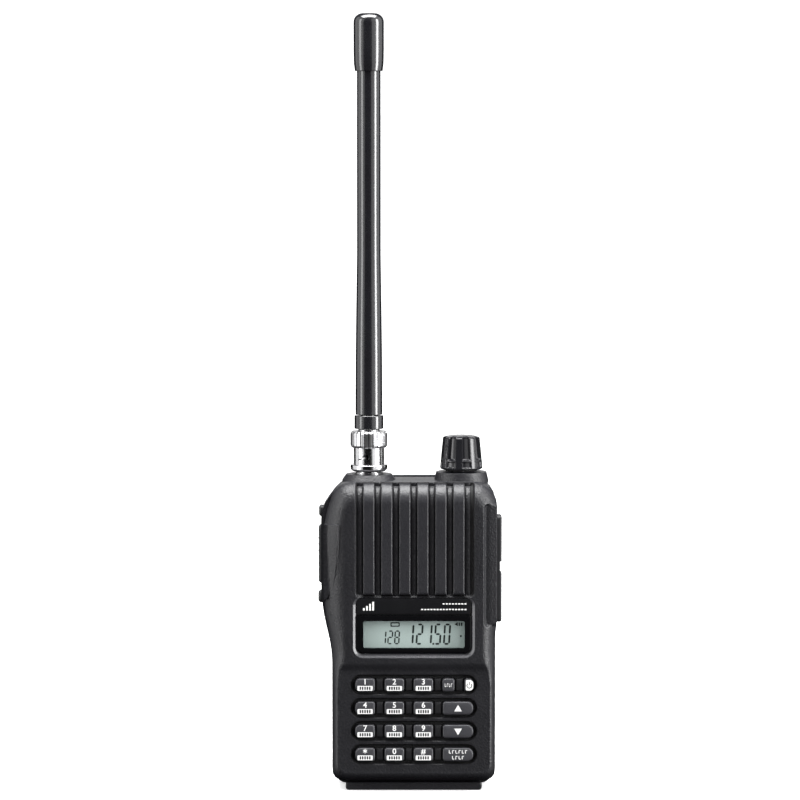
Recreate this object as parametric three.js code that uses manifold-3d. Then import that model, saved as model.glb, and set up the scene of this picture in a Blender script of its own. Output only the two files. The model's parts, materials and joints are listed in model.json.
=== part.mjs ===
// A handheld two-way radio with a whip antenna on a bayonet connector, in millimetres.
// X runs to the right of someone facing the keypad, Y runs from the front to the back, Z is up.
// The origin is the middle of the face that the radio stands on.
import * as THREE from "three";
import { mergeVertices } from "three/addons/utils/BufferGeometryUtils.js";
import Module from "manifold-3d";

const wasm = await Module();
wasm.setup();

// ---------------------------------------------------------------- driving dimensions

const FRONT_Y = -15.5; // the raised front of the case
const SPLIT_Y = -6; // where the front shell meets the rear chassis
const SEAM = 0.2; // half of the seam that the gasket fills
const CHASSIS_BACK_Y = 4.6;
const BACK_Y = 15.5; // the back of the battery and of the chassis's upper block
const WALL_Y = -12.7; // inside of the front wall
const ROOF_Z = 110;
const CAVITY_TOP_Z = 107.8;
const SHELL_BASE_Z = 3.2;
const GAP = 0.3; // between pieces that touch on the real radio
const TURN_STEPS = 24; // sides of a turned piece

const GROOVE_PITCH = 6.38; // speaker grille
const GROOVE_WIDTH = 2.35;
const GROOVE_FLOOR_Y = FRONT_Y + 1.6;
const GRILLE_BASE_Z = 70.4;

const KEY_ROWS = [38.5, 30.2, 21.9, 13.6]; // heights of the four rows of keys
const KEY_HEIGHT = 4.65;
const KEY_FRONT_Y = FRONT_Y - 0.1;
const KEY_CLEARANCE = 0.35;
const KEY_FLANGE = { reach: 0.8, frontY: -12.4, backY: -11.7 };
const KEY_COLUMNS = [-17.3, -6.9, 3.4];
const SMALL_KEY = 6.95; // width of a number key
const WIDE_KEY = { x: 15.7, width: 10.8 };

const ANTENNA = { x: -16, y: 4 }; // axis of the antenna and its socket
const KNOB = { x: 17, y: 4 }; // axis of the volume knob
const STUD_Z = 118.2; // the bayonet studs of the socket
const BAYONET_TURN = THREE.MathUtils.degToRad(80);
const BAYONET_LIFT = 2.3;
const COIL_TURNS = 10;

const PTT = { z: [73.6, 94.3], y: [-4.5, 1.9], outerX: -33.9 };
const UPPER_BUTTON = { z: [97.3, 101.4], y: [-3.6, 1.4], outerX: -33.8 };
const LOWER_BUTTON = { z: [66.4, 70.8], y: [-3.6, 1.4], outerX: -34.1 };
const BUTTON_FLANGE = 0.7;
const JACK_HOLES = [
  { z: 72, y: -0.9, hole: 3.0, stub: 1.6 },
  { z: 88, y: -0.9, hole: 2.6, stub: 1.1 },
];

const BATTERY = { halfWidth: 28.3, top: 88.6, frontY: 5.0 };
const RAIL = { x: 20, width: 3, backY: 5.8, z: [20, 80] };
const CLIP_PIN = { y: 21.6, z: 102.5, radius: 1.0, halfLength: 11.4 };

// ---------------------------------------------------------------- finishes

const finish = (color, roughness, metalness = 0) =>
  new THREE.MeshStandardMaterial({ color, roughness, metalness });

const caseBlack = finish(0x2b2c30, 0.55);
const keyBlack = finish(0x1d1e21, 0.4);
const powerWhite = finish(0xd9d9d4, 0.4);
const rubber = finish(0x17181a, 0.6);
const whipRubber = finish(0x1c1c1f, 0.3);
const chrome = finish(0xd8d8d8, 0.12, 1);
const steel = finish(0x8f9296, 0.35, 1);
const lensBlack = finish(0x0c0d10, 0.08);
const lcdGrey = finish(0xa9b0a6, 0.3);
const boardGreen = finish(0x1c5a3a, 0.5);
const feltBlack = finish(0x101010, 0.95);
const paperGrey = finish(0x3a3a38, 0.8);
const cellBlue = finish(0x2f5f8f, 0.4);
const copper = finish(0xb5713c, 0.35, 1);
const gold = finish(0xcaa24a, 0.3, 1);

// ---------------------------------------------------------------- shapes

// An outline seen from the front. Each corner is [x, z, trim]: the rounding starts that far
// before the corner and ends that far after it. Corners run anticlockwise.
function outline(corners, steps = 4) {
  const at = ([x, z]) => new THREE.Vector2(x, z);
  const towards = (from, to, distance) =>
    to.clone().sub(from).setLength(distance).add(from);
  return corners.flatMap((corner, i) => {
    const here = at(corner);
    const trim = Math.max(corner[2], 0.01);
    const start = towards(here, at(corners.at(i - 1)), trim);
    const end = towards(here, at(corners[(i + 1) % corners.length]), trim);
    return new THREE.QuadraticBezierCurve(start, here, end).getPoints(steps);
  });
}

// The corners of an upright rectangle.
const rectangle = (x0, x1, z0, z1, trim) => [
  [x1, z0, trim],
  [x1, z1, trim],
  [x0, z1, trim],
  [x0, z0, trim],
];

const centred = (halfWidth, z0, z1, trim) => rectangle(-halfWidth, halfWidth, z0, z1, trim);

// The same outline part of the way towards another one with as many corners.
const between = (from, to, share) =>
  from.map((corner, i) => corner.map((value, k) => value + share * (to[i][k] - value)));

// A solid through outlines that stand one in front of the other. Each level is
// [corners, y], from the back to the front.
function stack(levels, steps = 4) {
  const rings = levels.map(([corners, y]) =>
    outline(corners, steps).map((p) => new THREE.Vector3(p.x, y, p.y)));
  const size = rings[0].length;
  const index = [];
  for (let level = 0; level + 1 < rings.length; level += 1) {
    for (let i = 0; i < size; i += 1) {
      const next = (i + 1) % size;
      const back = level * size;
      const front = back + size;
      index.push(back + i, back + next, front + i);
      index.push(back + next, front + next, front + i);
    }
  }
  // Each end is closed by a fan about its middle.
  const points = rings.flat();
  const middleOf = (ring) =>
    ring.reduce((sum, p) => sum.add(p), new THREE.Vector3()).divideScalar(size);
  const backMiddle = points.push(middleOf(rings[0])) - 1;
  const frontMiddle = points.push(middleOf(rings.at(-1))) - 1;
  const frontRing = (rings.length - 1) * size;
  for (let i = 0; i < size; i += 1) {
    const next = (i + 1) % size;
    index.push(backMiddle, next, i);
    index.push(frontMiddle, frontRing + i, frontRing + next);
  }
  const geometry = new THREE.BufferGeometry().setFromPoints(points);
  geometry.setIndex(index);
  return geometry;
}

// The same on the left side of the case: widths run towards the front, depths are x.
const stackOnLeft = (levels, steps) => stack(levels, steps).rotateZ(-Math.PI / 2);

// And on the right side: widths are y, depths are -x.
const stackOnRight = (levels, steps) => stack(levels, steps).rotateZ(Math.PI / 2);

// A straight-sided plate with an outline seen from the front.
const plate = (corners, frontY, backY, steps) =>
  stack([[corners, backY], [corners, frontY]], steps);

const block = ([x0, x1], [y0, y1], [z0, z1]) =>
  new THREE.BoxGeometry(x1 - x0, y1 - y0, z1 - z0)
    .translate((x0 + x1) / 2, (y0 + y1) / 2, (z0 + z1) / 2);

// A piece turned on a lathe about the Z axis, from a profile of [radius, z]. The profile is
// taken anticlockwise, so that the faces point outwards.
function turned(profile, sides = TURN_STEPS) {
  const points = profile.map(([radius, z]) => new THREE.Vector2(radius, z));
  if (THREE.ShapeUtils.area(points) < 0) {
    points.reverse();
  }
  return new THREE.LatheGeometry(points, sides).rotateX(Math.PI / 2);
}

const rod = (radius, z0, z1, sides = TURN_STEPS) =>
  turned([[0, z0], [radius, z0], [radius, z1], [0, z1]], sides);

// A ring or tube about the Z axis.
const tube = (inner, outer, z0, z1, sides = TURN_STEPS) =>
  turned([[inner, z0], [outer, z0], [outer, z1], [inner, z1], [inner, z0]], sides);

const alongY = (geometry) => geometry.rotateX(-Math.PI / 2);
const alongX = (geometry) => geometry.rotateY(Math.PI / 2);

// A side profile of [y, z] points or a ready shape, carried across from x0 to x1.
function profileAcross(shape, x0, x1, curveSegments = 6) {
  const drawn = shape instanceof THREE.Shape
    ? shape
    : new THREE.Shape(shape.map(([y, z]) => new THREE.Vector2(y, z)));
  const basis = new THREE.Matrix4().makeBasis(
    new THREE.Vector3(0, 1, 0),
    new THREE.Vector3(0, 0, 1),
    new THREE.Vector3(1, 0, 0),
  );
  return new THREE.ExtrudeGeometry(drawn, { depth: x1 - x0, bevelEnabled: false, curveSegments })
    .translate(0, 0, x0)
    .applyMatrix4(basis);
}

// A helix about the Z axis, for coils and for the bayonet's ramp.
class Helix extends THREE.Curve {
  constructor(radius, startAngle, turns, z0, z1) {
    super();
    Object.assign(this, { radius, startAngle, turns, z0, z1 });
  }

  getPoint(t, target = new THREE.Vector3()) {
    const angle = this.startAngle + t * this.turns * 2 * Math.PI;
    const z = this.z0 + t * (this.z1 - this.z0);
    return target.set(this.radius * Math.cos(angle), this.radius * Math.sin(angle), z);
  }
}

function wire(path, radius, steps, sides) {
  const section = new THREE.Shape().absarc(0, 0, radius, 0, 2 * Math.PI);
  return new THREE.ExtrudeGeometry(section, {
    steps, extrudePath: path, curveSegments: sides, bevelEnabled: false,
  });
}

// ---------------------------------------------------------------- joining and cutting

// Welds a geometry's shared corners and drops the faces that have no area.
function welded(geometry) {
  const bare = geometry.clone();
  bare.deleteAttribute("normal");
  bare.deleteAttribute("uv");
  const merged = mergeVertices(bare, 1e-4);
  const corners = merged.index.array;
  const kept = [];
  for (let i = 0; i < corners.length; i += 3) {
    const [a, b, c] = corners.slice(i, i + 3);
    if (a !== b && b !== c && c !== a) {
      kept.push(a, b, c);
    }
  }
  merged.setIndex(kept);
  return merged;
}

function toSolid(geometry) {
  const clean = welded(geometry);
  return new wasm.Manifold(new wasm.Mesh({
    numProp: 3,
    vertProperties: clean.attributes.position.array,
    triVerts: new Uint32Array(clean.index.array),
  }));
}

function toGeometry(solid) {
  const mesh = solid.getMesh();
  const geometry = new THREE.BufferGeometry();
  geometry.setAttribute("position", new THREE.BufferAttribute(mesh.vertProperties, 3));
  geometry.setIndex(new THREE.BufferAttribute(mesh.triVerts, 1));
  return geometry;
}

const joined = (...parts) =>
  toGeometry(parts.map(toSolid).reduce((whole, part) => whole.add(part)));

const cut = (base, ...tools) =>
  toGeometry(tools.map(toSolid).reduce((rest, tool) => rest.subtract(tool), toSolid(base)));

// ---------------------------------------------------------------- the radio and its groups

const radio = new THREE.Group();
const antennaGroup = new THREE.Group();
antennaGroup.position.set(ANTENNA.x, ANTENNA.y, 0);
const knobGroup = new THREE.Group();
knobGroup.position.set(KNOB.x, KNOB.y, 0);
radio.add(antennaGroup, knobGroup);

function add(name, geometry, material, parent = radio) {
  const clean = welded(geometry);
  clean.computeVertexNormals();
  const mesh = new THREE.Mesh(clean, material);
  mesh.name = name;
  parent.add(mesh);
  return mesh;
}

// ---------------------------------------------------------------- keys

// Every key of the keypad: its name, its row, its middle and its width.
const numberNames = [
  ["key_1", "key_2", "key_3"],
  ["key_4", "key_5", "key_6"],
  ["key_7", "key_8", "key_9"],
  ["key_star", "key_0", "key_hash"],
];
const wideNames = [null, "key_up", "key_down", "key_call"];

const keys = numberNames.flatMap((names, row) =>
  names.map((name, column) => ({ name, row, x: KEY_COLUMNS[column], width: SMALL_KEY })));
wideNames.forEach((name, row) => {
  if (name) {
    keys.push({ name, row, x: WIDE_KEY.x, width: WIDE_KEY.width });
  }
});
keys.push({ name: "key_monitor", row: 0, x: 12.3, width: 4.3 });
keys.push({ name: "key_power", row: 0, x: 19.6, width: 3.3 });

function keyCorners({ row, x, width }, margin, trim) {
  const half = width / 2 + margin;
  const tall = KEY_HEIGHT / 2 + margin;
  return rectangle(x - half, x + half, KEY_ROWS[row] - tall, KEY_ROWS[row] + tall, trim);
}

function makeKeys() {
  for (const key of keys) {
    const shape = stack([
      [keyCorners(key, KEY_FLANGE.reach, 1.2), KEY_FLANGE.backY],
      [keyCorners(key, KEY_FLANGE.reach, 1.2), KEY_FLANGE.frontY],
      [keyCorners(key, 0, 1.3), KEY_FLANGE.frontY],
      [keyCorners(key, 0, 1.3), KEY_FRONT_Y + 0.45],
      [keyCorners(key, -0.4, 1.0), KEY_FRONT_Y],
    ], 2);
    add(key.name, shape, key.name === "key_power" ? powerWhite : keyBlack);
  }
}

// ---------------------------------------------------------------- front shell

const shellEdge = [
  [29.0, SHELL_BASE_Z, 4], [29.0, 41, 3], [29.0, 48, 3], [29.0, 109.9, 8.5],
  [-27.6, 109.9, 5], [-32.0, 96, 5], [-32.0, 67, 6], [-29.1, 50, 4],
  [-29.1, 41, 3], [-29.1, SHELL_BASE_Z, 4],
];
const plateauEdge = [
  [26.5, 7.5, 3], [26.5, 41, 3], [24.2, 47.5, 3], [24.2, 103.4, 4],
  [-23.8, 103.4, 4], [-23.8, 95, 1], [-23.8, 67, 1], [-23.8, 47.5, 2.5],
  [-26.4, 41, 3], [-26.4, 7.5, 3],
];

// How far the flank has closed in towards the plateau at each depth.
const flank = [[0, SPLIT_Y - SEAM], [0, -9], [0.1, -11], [0.35, -13.3], [0.68, -14.8], [1, FRONT_Y]];

// A groove of the grille, which runs up the front and back over the top edge.
function grilleGroove(x, width) {
  const profile = new THREE.Shape();
  profile.moveTo(-20, GRILLE_BASE_Z);
  profile.lineTo(GROOVE_FLOOR_Y, GRILLE_BASE_Z);
  profile.lineTo(GROOVE_FLOOR_Y, 101);
  profile.quadraticCurveTo(GROOVE_FLOOR_Y, 108, -8.8, 108);
  profile.lineTo(-8.8, 115);
  profile.lineTo(-20, 115);
  profile.closePath();
  return profileAcross(profile, x - width / 2, x + width / 2);
}

const soundSlot = (x) =>
  plate(rectangle(x - 0.6, x + 0.6, 75, 99, 0.5), FRONT_Y, WALL_Y + 1, 2);

// The raised pads beside the talk button and the jacks.
const sidePad = (x0, x1, z0, z1, frontY) => stack([
  [rectangle(x0, x1, z0, z1, 2.2), SPLIT_Y - SEAM],
  [rectangle(x0, x1, z0, z1, 2.2), frontY + 1.15],
  [rectangle(x0 + 1.1, x1 - 1.1, z0 + 1.1, z1 - 1.1, 1.6), frontY],
], 3);

function makeFrontShell() {
  const body = stack(flank.map(([share, y]) => [between(shellEdge, plateauEdge, share), y]), 3);
  const wideCavity = [
    [27, 6, 3], [27, 104, 6], [-25.6, 104, 4], [-29.8, 94, 4],
    [-29.8, 68, 5], [-27, 51, 4], [-27, 6, 3],
  ];
  const tools = [
    plate(wideCavity, -11, 0),
    plate(centred(24.5, 7.5, 100, 4), WALL_Y, -10),
    plate(centred(21.3, 48.3, 70, 3.2), -20, FRONT_Y + 0.7),
    plate(centred(20.5, 49.7, 69.7, 2), -20, FRONT_Y + 1.5),
    plate(centred(18.6, 51.2, 62, 1), -20, -10),
    plate(centred(25.2, 9, 45, 3), -20, FRONT_Y + 0.5),
    ...KEY_ROWS.map((z) => plate(centred(22.4, z - 3.45, z + 3.45, 3), -20, FRONT_Y + 1.3)),
    ...keys.map((key) => plate(keyCorners(key, KEY_CLEARANCE, 1.5), -20, -10, 2)),
    ...[-2, -1, 0, 1, 2].map((i) => grilleGroove(i * GROOVE_PITCH, GROOVE_WIDTH)),
    ...[-1, 1].map((side) => grilleGroove(side * 19.5, 3.05)),
    ...[-2, -1, 0, 1, 2].map((i) => soundSlot(i * GROOVE_PITCH)),
  ];
  const whole = joined(
    body,
    sidePad(24.3, 29.6, 59.2, 103.1, -13.45),
    sidePad(-31.7, -26.4, 73, 95.1, -12.35),
  );
  add("front_shell", cut(whole, ...tools), caseBlack);
}

function makeGasket() {
  const inner = between(shellEdge, plateauEdge, 0.34);
  const outer = between(shellEdge, plateauEdge, 0.1);
  const backY = SPLIT_Y + SEAM - 0.05;
  const frontY = SPLIT_Y - SEAM + 0.05;
  add("case_gasket", cut(plate(outer, frontY, backY), plate(inner, frontY - 1, backY + 1)), rubber);
}

function makeDisplay() {
  const lens = stack([
    [centred(20.2, 50, 63.3, 1.6), FRONT_Y + 1.4],
    [centred(20.2, 50, 63.3, 1.6), FRONT_Y + 0.5],
    [centred(19.9, 50.3, 63, 1.4), FRONT_Y + 0.3],
  ]);
  add("display_lens", lens, lensBlack);
  add("name_strip", plate(centred(20.2, 63.7, 69.4, 0.8), FRONT_Y + 0.4, FRONT_Y + 1.4, 2), keyBlack);
  add("lcd_panel", plate(centred(19.5, 50.5, 63, 0.4), -12.5, -10.9, 1), lcdGrey);
}

// ---------------------------------------------------------------- inside the front shell

const SPEAKER = { z: 87, radius: 15.5, rimY: -10.8 };

// The speaker's pieces are turned about Z and then laid down to face the grille.
const facingFront = (geometry) =>
  geometry.rotateX(Math.PI / 2).translate(0, SPEAKER.rimY, SPEAKER.z);

function makeSpeaker() {
  const basket = turned([
    [8, -4.6], [8, -7.4], [0, -7.4], [0, -4.2], [4, -4.2], [11, -3.4], [14, -0.9],
    [14, -0.01], [SPEAKER.radius, -0.01], [SPEAKER.radius, -1.2], [12, -4.6], [8, -4.6],
  ]);
  add("speaker_frame", facingFront(basket), steel);
  const cone = turned([
    [0, -2.6], [3.5, -2.9], [11.5, -1.6], [13.6, -0.7], [13.6, -0.3], [11.5, -1.1],
    [3.5, -2.3], [0, -1.2],
  ]);
  add("speaker_cone", facingFront(cone), paperGrey);
  add("speaker_felt", plate(centred(17.5, 73, 99.5, 2), -12.5, -12.0, 2), feltBlack);
}

function makeKeypadMat() {
  const sheet = plate(centred(23.8, 8.5, 43.5, 2), -10.6, -9.8, 2);
  const domes = keys.map((key) =>
    alongY(rod(1.4, -11.1, -10.5, 6)).translate(key.x, 0, KEY_ROWS[key.row]));
  return { sheet, domes };
}

function makeBoards() {
  add("logic_board", plate(centred(23.6, 8.5, 69.5, 1), -9.5, -8.3, 2), boardGreen);
  const jackNotch = block([18.6, 30], [-5, 3], [62.6, 94.4]);
  add("main_board", cut(plate(centred(25.8, 8, 88, 1), -1.5, -0.3, 2), jackNotch), boardGreen);
  const can = stack([
    [centred(15, 30, 68, 1), -1.8],
    [centred(15, 30, 68, 1), -4.4],
    [centred(14.6, 30.4, 67.6, 1), -4.8],
  ], 2);
  add("rf_shield", can, steel);
}

// ---------------------------------------------------------------- rear chassis

const chassisEdge = [
  [29.1, 3, 4], [29.1, ROOF_Z, 8], [-26, ROOF_Z, 4], [-33, 100.5, 4],
  [-33, 66, 8], [-29.1, 50, 6], [-29.1, 3, 4],
];
const chassisCavity = [
  [27.1, 6, 3], [27.1, CAVITY_TOP_Z, 6], [-25.3, CAVITY_TOP_Z, 3], [-31, 99.5, 3],
  [-31, 67, 7], [-27.1, 50.5, 5], [-27.1, 6, 3],
];
const CONTACTS = { x: [7, 17], z: [14, 20] };
const CLIP_SCREWS_X = [-6.5, 6.5];
const CLIP_SCREW_Z = 97;

// An opening in the left wall for a button, and the pocket inside it for the button's flange.
const sideWindow = ({ y, z }, clearance, x = [-36, -30]) =>
  block(x, [y[0] - clearance, y[1] + clearance], [z[0] - clearance, z[1] + clearance]);

function makeRearChassis() {
  const front = plate(chassisEdge, SPLIT_Y + SEAM, CHASSIS_BACK_Y);
  const upperBlock = stack([
    [centred(26.1, 91.7, 107.5, 7), BACK_Y],
    [centred(27.9, 89.9, 109.3, 7.6), BACK_Y - 1.2],
    [centred(28.6, 89.2, ROOF_Z, 8), BACK_Y - 3],
    [centred(28.6, 89.2, ROOF_Z, 8), CHASSIS_BACK_Y - 0.5],
  ]);
  const leftBoss = turned([[0, 109], [9.6, 109], [9.6, ROOF_Z], [8.2, 112], [0, 112]])
    .translate(ANTENNA.x, ANTENNA.y, 0);
  const rightBoss = turned([[0, 109], [9.7, 109], [9.7, ROOF_Z], [9, 112.8], [0, 112.8]])
    .translate(KNOB.x, KNOB.y, 0);
  const foot = joined(
    stack([
      [centred(24.3, 0, 2.9, 1.2), CHASSIS_BACK_Y],
      [centred(24.3, 0, 2.9, 1.2), -9.6],
      [centred(23.9, 0.4, 2.7, 1), -10],
    ], 3),
    block([-24, 24], [SPLIT_Y + 0.5, CHASSIS_BACK_Y], [2, 5]),
  );
  const rails = [-RAIL.x, RAIL.x].map((x) =>
    block([x - RAIL.width / 2, x + RAIL.width / 2], [CHASSIS_BACK_Y - 0.5, RAIL.backY], RAIL.z));
  const whole = joined(front, upperBlock, leftBoss, rightBoss, foot, ...rails);
  const tools = [
    plate(chassisCavity, -10, 3),
    plate(centred(26, 91.2, CAVITY_TOP_Z, 3), 2, 13.5, 3),
    rod(5.2, 100, 120).translate(ANTENNA.x, ANTENNA.y, 0),
    rod(3.9, 100, 120).translate(KNOB.x, KNOB.y, 0),
    ...[PTT, UPPER_BUTTON, LOWER_BUTTON].map((button) => sideWindow(button, GAP)),
    ...[UPPER_BUTTON, LOWER_BUTTON].map((button) =>
      sideWindow(button, BUTTON_FLANGE + GAP, [-30.75, -28])),
    ...JACK_HOLES.map(({ z, y, hole }) => alongX(rod(hole, 24, 34, 16)).translate(0, y, z)),
    block([CONTACTS.x[0] - GAP, CONTACTS.x[1] + GAP], [2, 6], [CONTACTS.z[0] - GAP, CONTACTS.z[1] + GAP]),
    block([-10, 10], [1.2, 6], [-1, 2.6]),
    ...CLIP_SCREWS_X.map((x) => alongY(rod(1.5, 12, 17, 12)).translate(x, 0, CLIP_SCREW_Z)),
  ];
  add("rear_chassis", cut(whole, ...tools), caseBlack);
}

// ---------------------------------------------------------------- side buttons and jacks

// A button in the left wall: a rounded head outside, and a flange that keeps it in.
function sideButton({ y, z, outerX }, round) {
  const seen = (margin) =>
    rectangle(-y[1] - margin, -y[0] + margin, z[0] - margin, z[1] + margin, round);
  return stackOnLeft([
    [seen(BUTTON_FLANGE), -29.8],
    [seen(BUTTON_FLANGE), -30.6],
    [seen(0), -30.6],
    [seen(0), outerX + 0.6],
    [seen(-0.6), outerX],
  ], 3);
}

function makeSideButtons() {
  const ridges = [];
  for (let z = PTT.z[0] + 3; z < PTT.z[1] - 2.5; z += 1.8) {
    ridges.push(block([PTT.outerX - 1, PTT.outerX + 0.25], [PTT.y[0] + 1, PTT.y[1] - 1], [z, z + 0.8]));
  }
  add("ptt_button", cut(sideButton(PTT, 1.2), ...ridges), rubber);
  add("upper_side_button", sideButton(UPPER_BUTTON, 1.6), rubber);
  add("lower_side_button", sideButton(LOWER_BUTTON, 1.6), rubber);
  const frame = block([-28.2, -27.2], [-4.8, 2.6], [65.5, 101]);
  const domes = [PTT, UPPER_BUTTON, LOWER_BUTTON].map(({ z }) =>
    alongX(rod(1.5, -28.6, -27.5, 10)).translate(0, -1.1, (z[0] + z[1]) / 2));
  add("side_key_frame", joined(frame, ...domes), steel);
}

function makeJacks() {
  const body = block([19, 26.8], [-3.9, 2.1], [63, 94]);
  const bores = JACK_HOLES.map(({ z, y, hole }) =>
    alongX(rod(hole - 0.7, 20.5, 30, 16)).translate(0, y, z));
  add("jack_block", cut(body, ...bores), keyBlack);
  const seen = rectangle(-4.6, 2.9, 59.5, 97.8, 1.6);
  const seenEdge = rectangle(-4.0, 2.3, 60.1, 97.2, 1.4);
  const cover = stackOnRight([[seen, -29.4], [seen, -30.9], [seenEdge, -31.4]], 3);
  const stubs = JACK_HOLES.map(({ z, y, stub }) =>
    alongX(rod(stub, 28, 30, 10)).translate(0, y, z));
  const notch = block([30.8, 33], [-6, 4], [77.1, 81.3]);
  add("jack_cover", cut(joined(cover, ...stubs), notch), rubber);
}

// ---------------------------------------------------------------- volume knob

function makeVolumeKnob() {
  const body = turned([
    [0, 123.4], [1.95, 123.4], [1.95, 115.8], [6.3, 115.8], [6.3, 113.8], [6.9, 113.8],
    [7.7, 114.9], [6.5, 124.2], [5.9, 125.5], [4.8, 126], [4.6, 125.6], [0, 125.6],
  ]);
  const grooves = [];
  for (let i = 0; i < 8; i += 1) {
    const groove = block([-1.1, 1.1], [-9, -6.15], [116.5, 124.6]);
    grooves.push(groove.rotateZ((i * Math.PI) / 4));
  }
  add("volume_knob", cut(body, ...grooves), keyBlack, knobGroup);
  add("knob_seal", tube(3.8, 5.9, 113.1, 114.9), rubber, knobGroup);
  add("pot_shaft", rod(1.65, 103, 122.8, 16), steel, knobGroup);
  const potBody = joined(block([-6, 6], [-5.5, 6.5], [100, 106.6]), rod(3.5, 106, 112.4));
  add("volume_pot", cut(potBody, rod(2, 102.6, 114, 16)), steel, knobGroup);
}

// ---------------------------------------------------------------- antenna and its connector

function makeSocket() {
  const barrel = turned([
    [0, 100], [4.9, 100], [4.9, 112.6], [4.3, 112.6], [4.3, 121.8], [3.6, 121.8], [3.6, 113.6],
    [0, 113.6],
  ]);
  const studs = alongX(rod(0.85, -5.25, 5.25, 10)).translate(0, 0, STUD_Z);
  const bore = rod(3.6, 113.6, 122);
  add("bnc_socket", cut(joined(barrel, studs), bore), chrome, antennaGroup);
  const nut = cut(rod(7.4, 104.8, 107.4, 6), rod(5.2, 100, 110));
  add("socket_nut", nut, steel, antennaGroup);
}

// One bayonet track: a ramp from the locked stud down and round to the entry, which is
// hidden inside the rim.
function bayonetTrack(side) {
  const lockedAngle = side * Math.PI;
  const entryAngle = lockedAngle - BAYONET_TURN;
  const ramp = new Helix(5.05, lockedAngle + 0.02, -(BAYONET_TURN + 0.04) / (2 * Math.PI),
    STUD_Z, STUD_Z - BAYONET_LIFT);
  const roundEnd = (radius, reach, angle, z) =>
    rod(radius, 3.9, reach, 12).rotateY(Math.PI / 2).rotateZ(angle).translate(0, 0, z);
  const hole = roundEnd(1.4, 7, lockedAngle, STUD_Z);
  const corner = roundEnd(1.3, 5.6, entryAngle, STUD_Z - BAYONET_LIFT);
  const entry = block([3.9, 5.6], [-1.25, 1.25], [112, STUD_Z - BAYONET_LIFT]).rotateZ(entryAngle);
  return [wire(ramp, 1.25, 8, 5), hole, corner, entry];
}

function makeCouplingSleeve() {
  const body = turned([
    [4.75, 113], [5.9, 113], [6.63, 114], [6.63, 115.3], [5.42, 115.5], [5.42, 121.5],
    [6.4, 121.5], [6.68, 121.9], [6.68, 126.9], [6.3, 127.4], [4.1, 127.4], [4.1, 123.2],
    [4.75, 123.2], [4.75, 113],
  ], 32);
  const tracks = [0, 1].flatMap(bayonetTrack);
  add("coupling_sleeve", cut(body, ...tracks), chrome, antennaGroup);
}

function makeAntenna() {
  const shell = turned([
    [2.45, 114.6], [3.25, 114.6], [3.25, 122.1], [4.45, 122.1], [4.45, 123], [3.75, 123],
    [3.75, 127.9], [2.45, 127.9], [2.45, 114.6],
  ]);
  add("plug_shell", shell, chrome, antennaGroup);
  const collar = turned([
    [0, 115.4], [0.7, 115.8], [0.7, 119], [2.1, 119], [2.1, 128.2], [5.19, 128.2],
    [5.19, 132.5], [4.9, 133], [2.4, 133], [2.4, 140], [0, 140],
  ]);
  add("whip_collar", collar, chrome, antennaGroup);
  const sheath = turned([
    [2.95, 133.3], [4.81, 133.3], [4.79, 139], [4.73, 153], [4.55, 168], [4.35, 182],
    [4.23, 190], [4.23, 259.6], [2.95, 259.6], [2.95, 133.3],
  ]);
  add("antenna_sheath", sheath, whipRubber, antennaGroup);
  const cap = turned([
    [4.52, 255.6], [5.0, 255.6], [5.3, 256.6], [5.42, 271.6], [5.24, 272.8], [4.7, 273.9],
    [3.43, 274.9], [0.9, 276], [0, 276.15], [0, 260], [4.52, 260], [4.52, 255.6],
  ]);
  add("antenna_cap", cap, whipRubber, antennaGroup);
  const coil = wire(new Helix(2.1, 0, COIL_TURNS, 142, 253.3), 0.45, COIL_TURNS * 8, 3);
  add("antenna_coil", coil, copper, antennaGroup);
}

// ---------------------------------------------------------------- battery

function makeBattery() {
  const half = BATTERY.halfWidth;
  const box = stack([
    [centred(half - 3, 3, BATTERY.top - 3, 4), BACK_Y],
    [centred(half - 1, 1, BATTERY.top - 1, 4.5), BACK_Y - 0.9],
    [centred(half, 0, BATTERY.top, 5), BACK_Y - 3],
    [centred(half, 0, BATTERY.top, 5), BATTERY.frontY],
  ]);
  const railPaths = [-RAIL.x, RAIL.x].map((x) =>
    block([x - 2, x + 2], [4, RAIL.backY + 0.4], [10, 100]));
  const inside = plate(centred(26.5, 3, 86.6, 3), 4, 13.7);
  add("battery_case", cut(box, inside, ...railPaths), caseBlack);
  const lid = plate(centred(26.2, 3.3, 86.3, 3), BATTERY.frontY + 0.1, 7, 3);
  add("battery_lid", cut(lid, ...railPaths), caseBlack);
  const cellAt = (x0, x1) => stack([
    [rectangle(x0 + 0.8, x1 - 0.8, 6.8, 83.2, 1.5), 13.3],
    [rectangle(x0, x1, 6, 84, 2), 12.3],
    [rectangle(x0, x1, 6, 84, 2), 8.3],
    [rectangle(x0 + 0.8, x1 - 0.8, 6.8, 83.2, 1.5), 7.4],
  ], 3);
  add("cell_left", cellAt(-25.8, -1), cellBlue);
  add("cell_right", cellAt(1, 25.8), cellBlue);
  const pads = block(CONTACTS.x, [1.2, 4.8], CONTACTS.z);
  const grooves = [10.2, 13.4].map((x) => block([x, x + 0.6], [4.2, 6], [10, 24]));
  add("contact_block", cut(pads, ...grooves), gold);
  const latch = block([-9.6, 9.6], [2.8, 4.6], [0.3, 2.3]);
  const grips = [-6, -4, -2, 0, 2, 4, 6].map((x) => block([x - 0.4, x + 0.4], [2, 5], [0, 0.7]));
  add("battery_latch", cut(latch, ...grips), rubber);
}

// ---------------------------------------------------------------- belt clip

const pinHole = (radius) =>
  alongX(rod(radius, -20, 20, 16)).translate(0, CLIP_PIN.y, CLIP_PIN.z);

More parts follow.
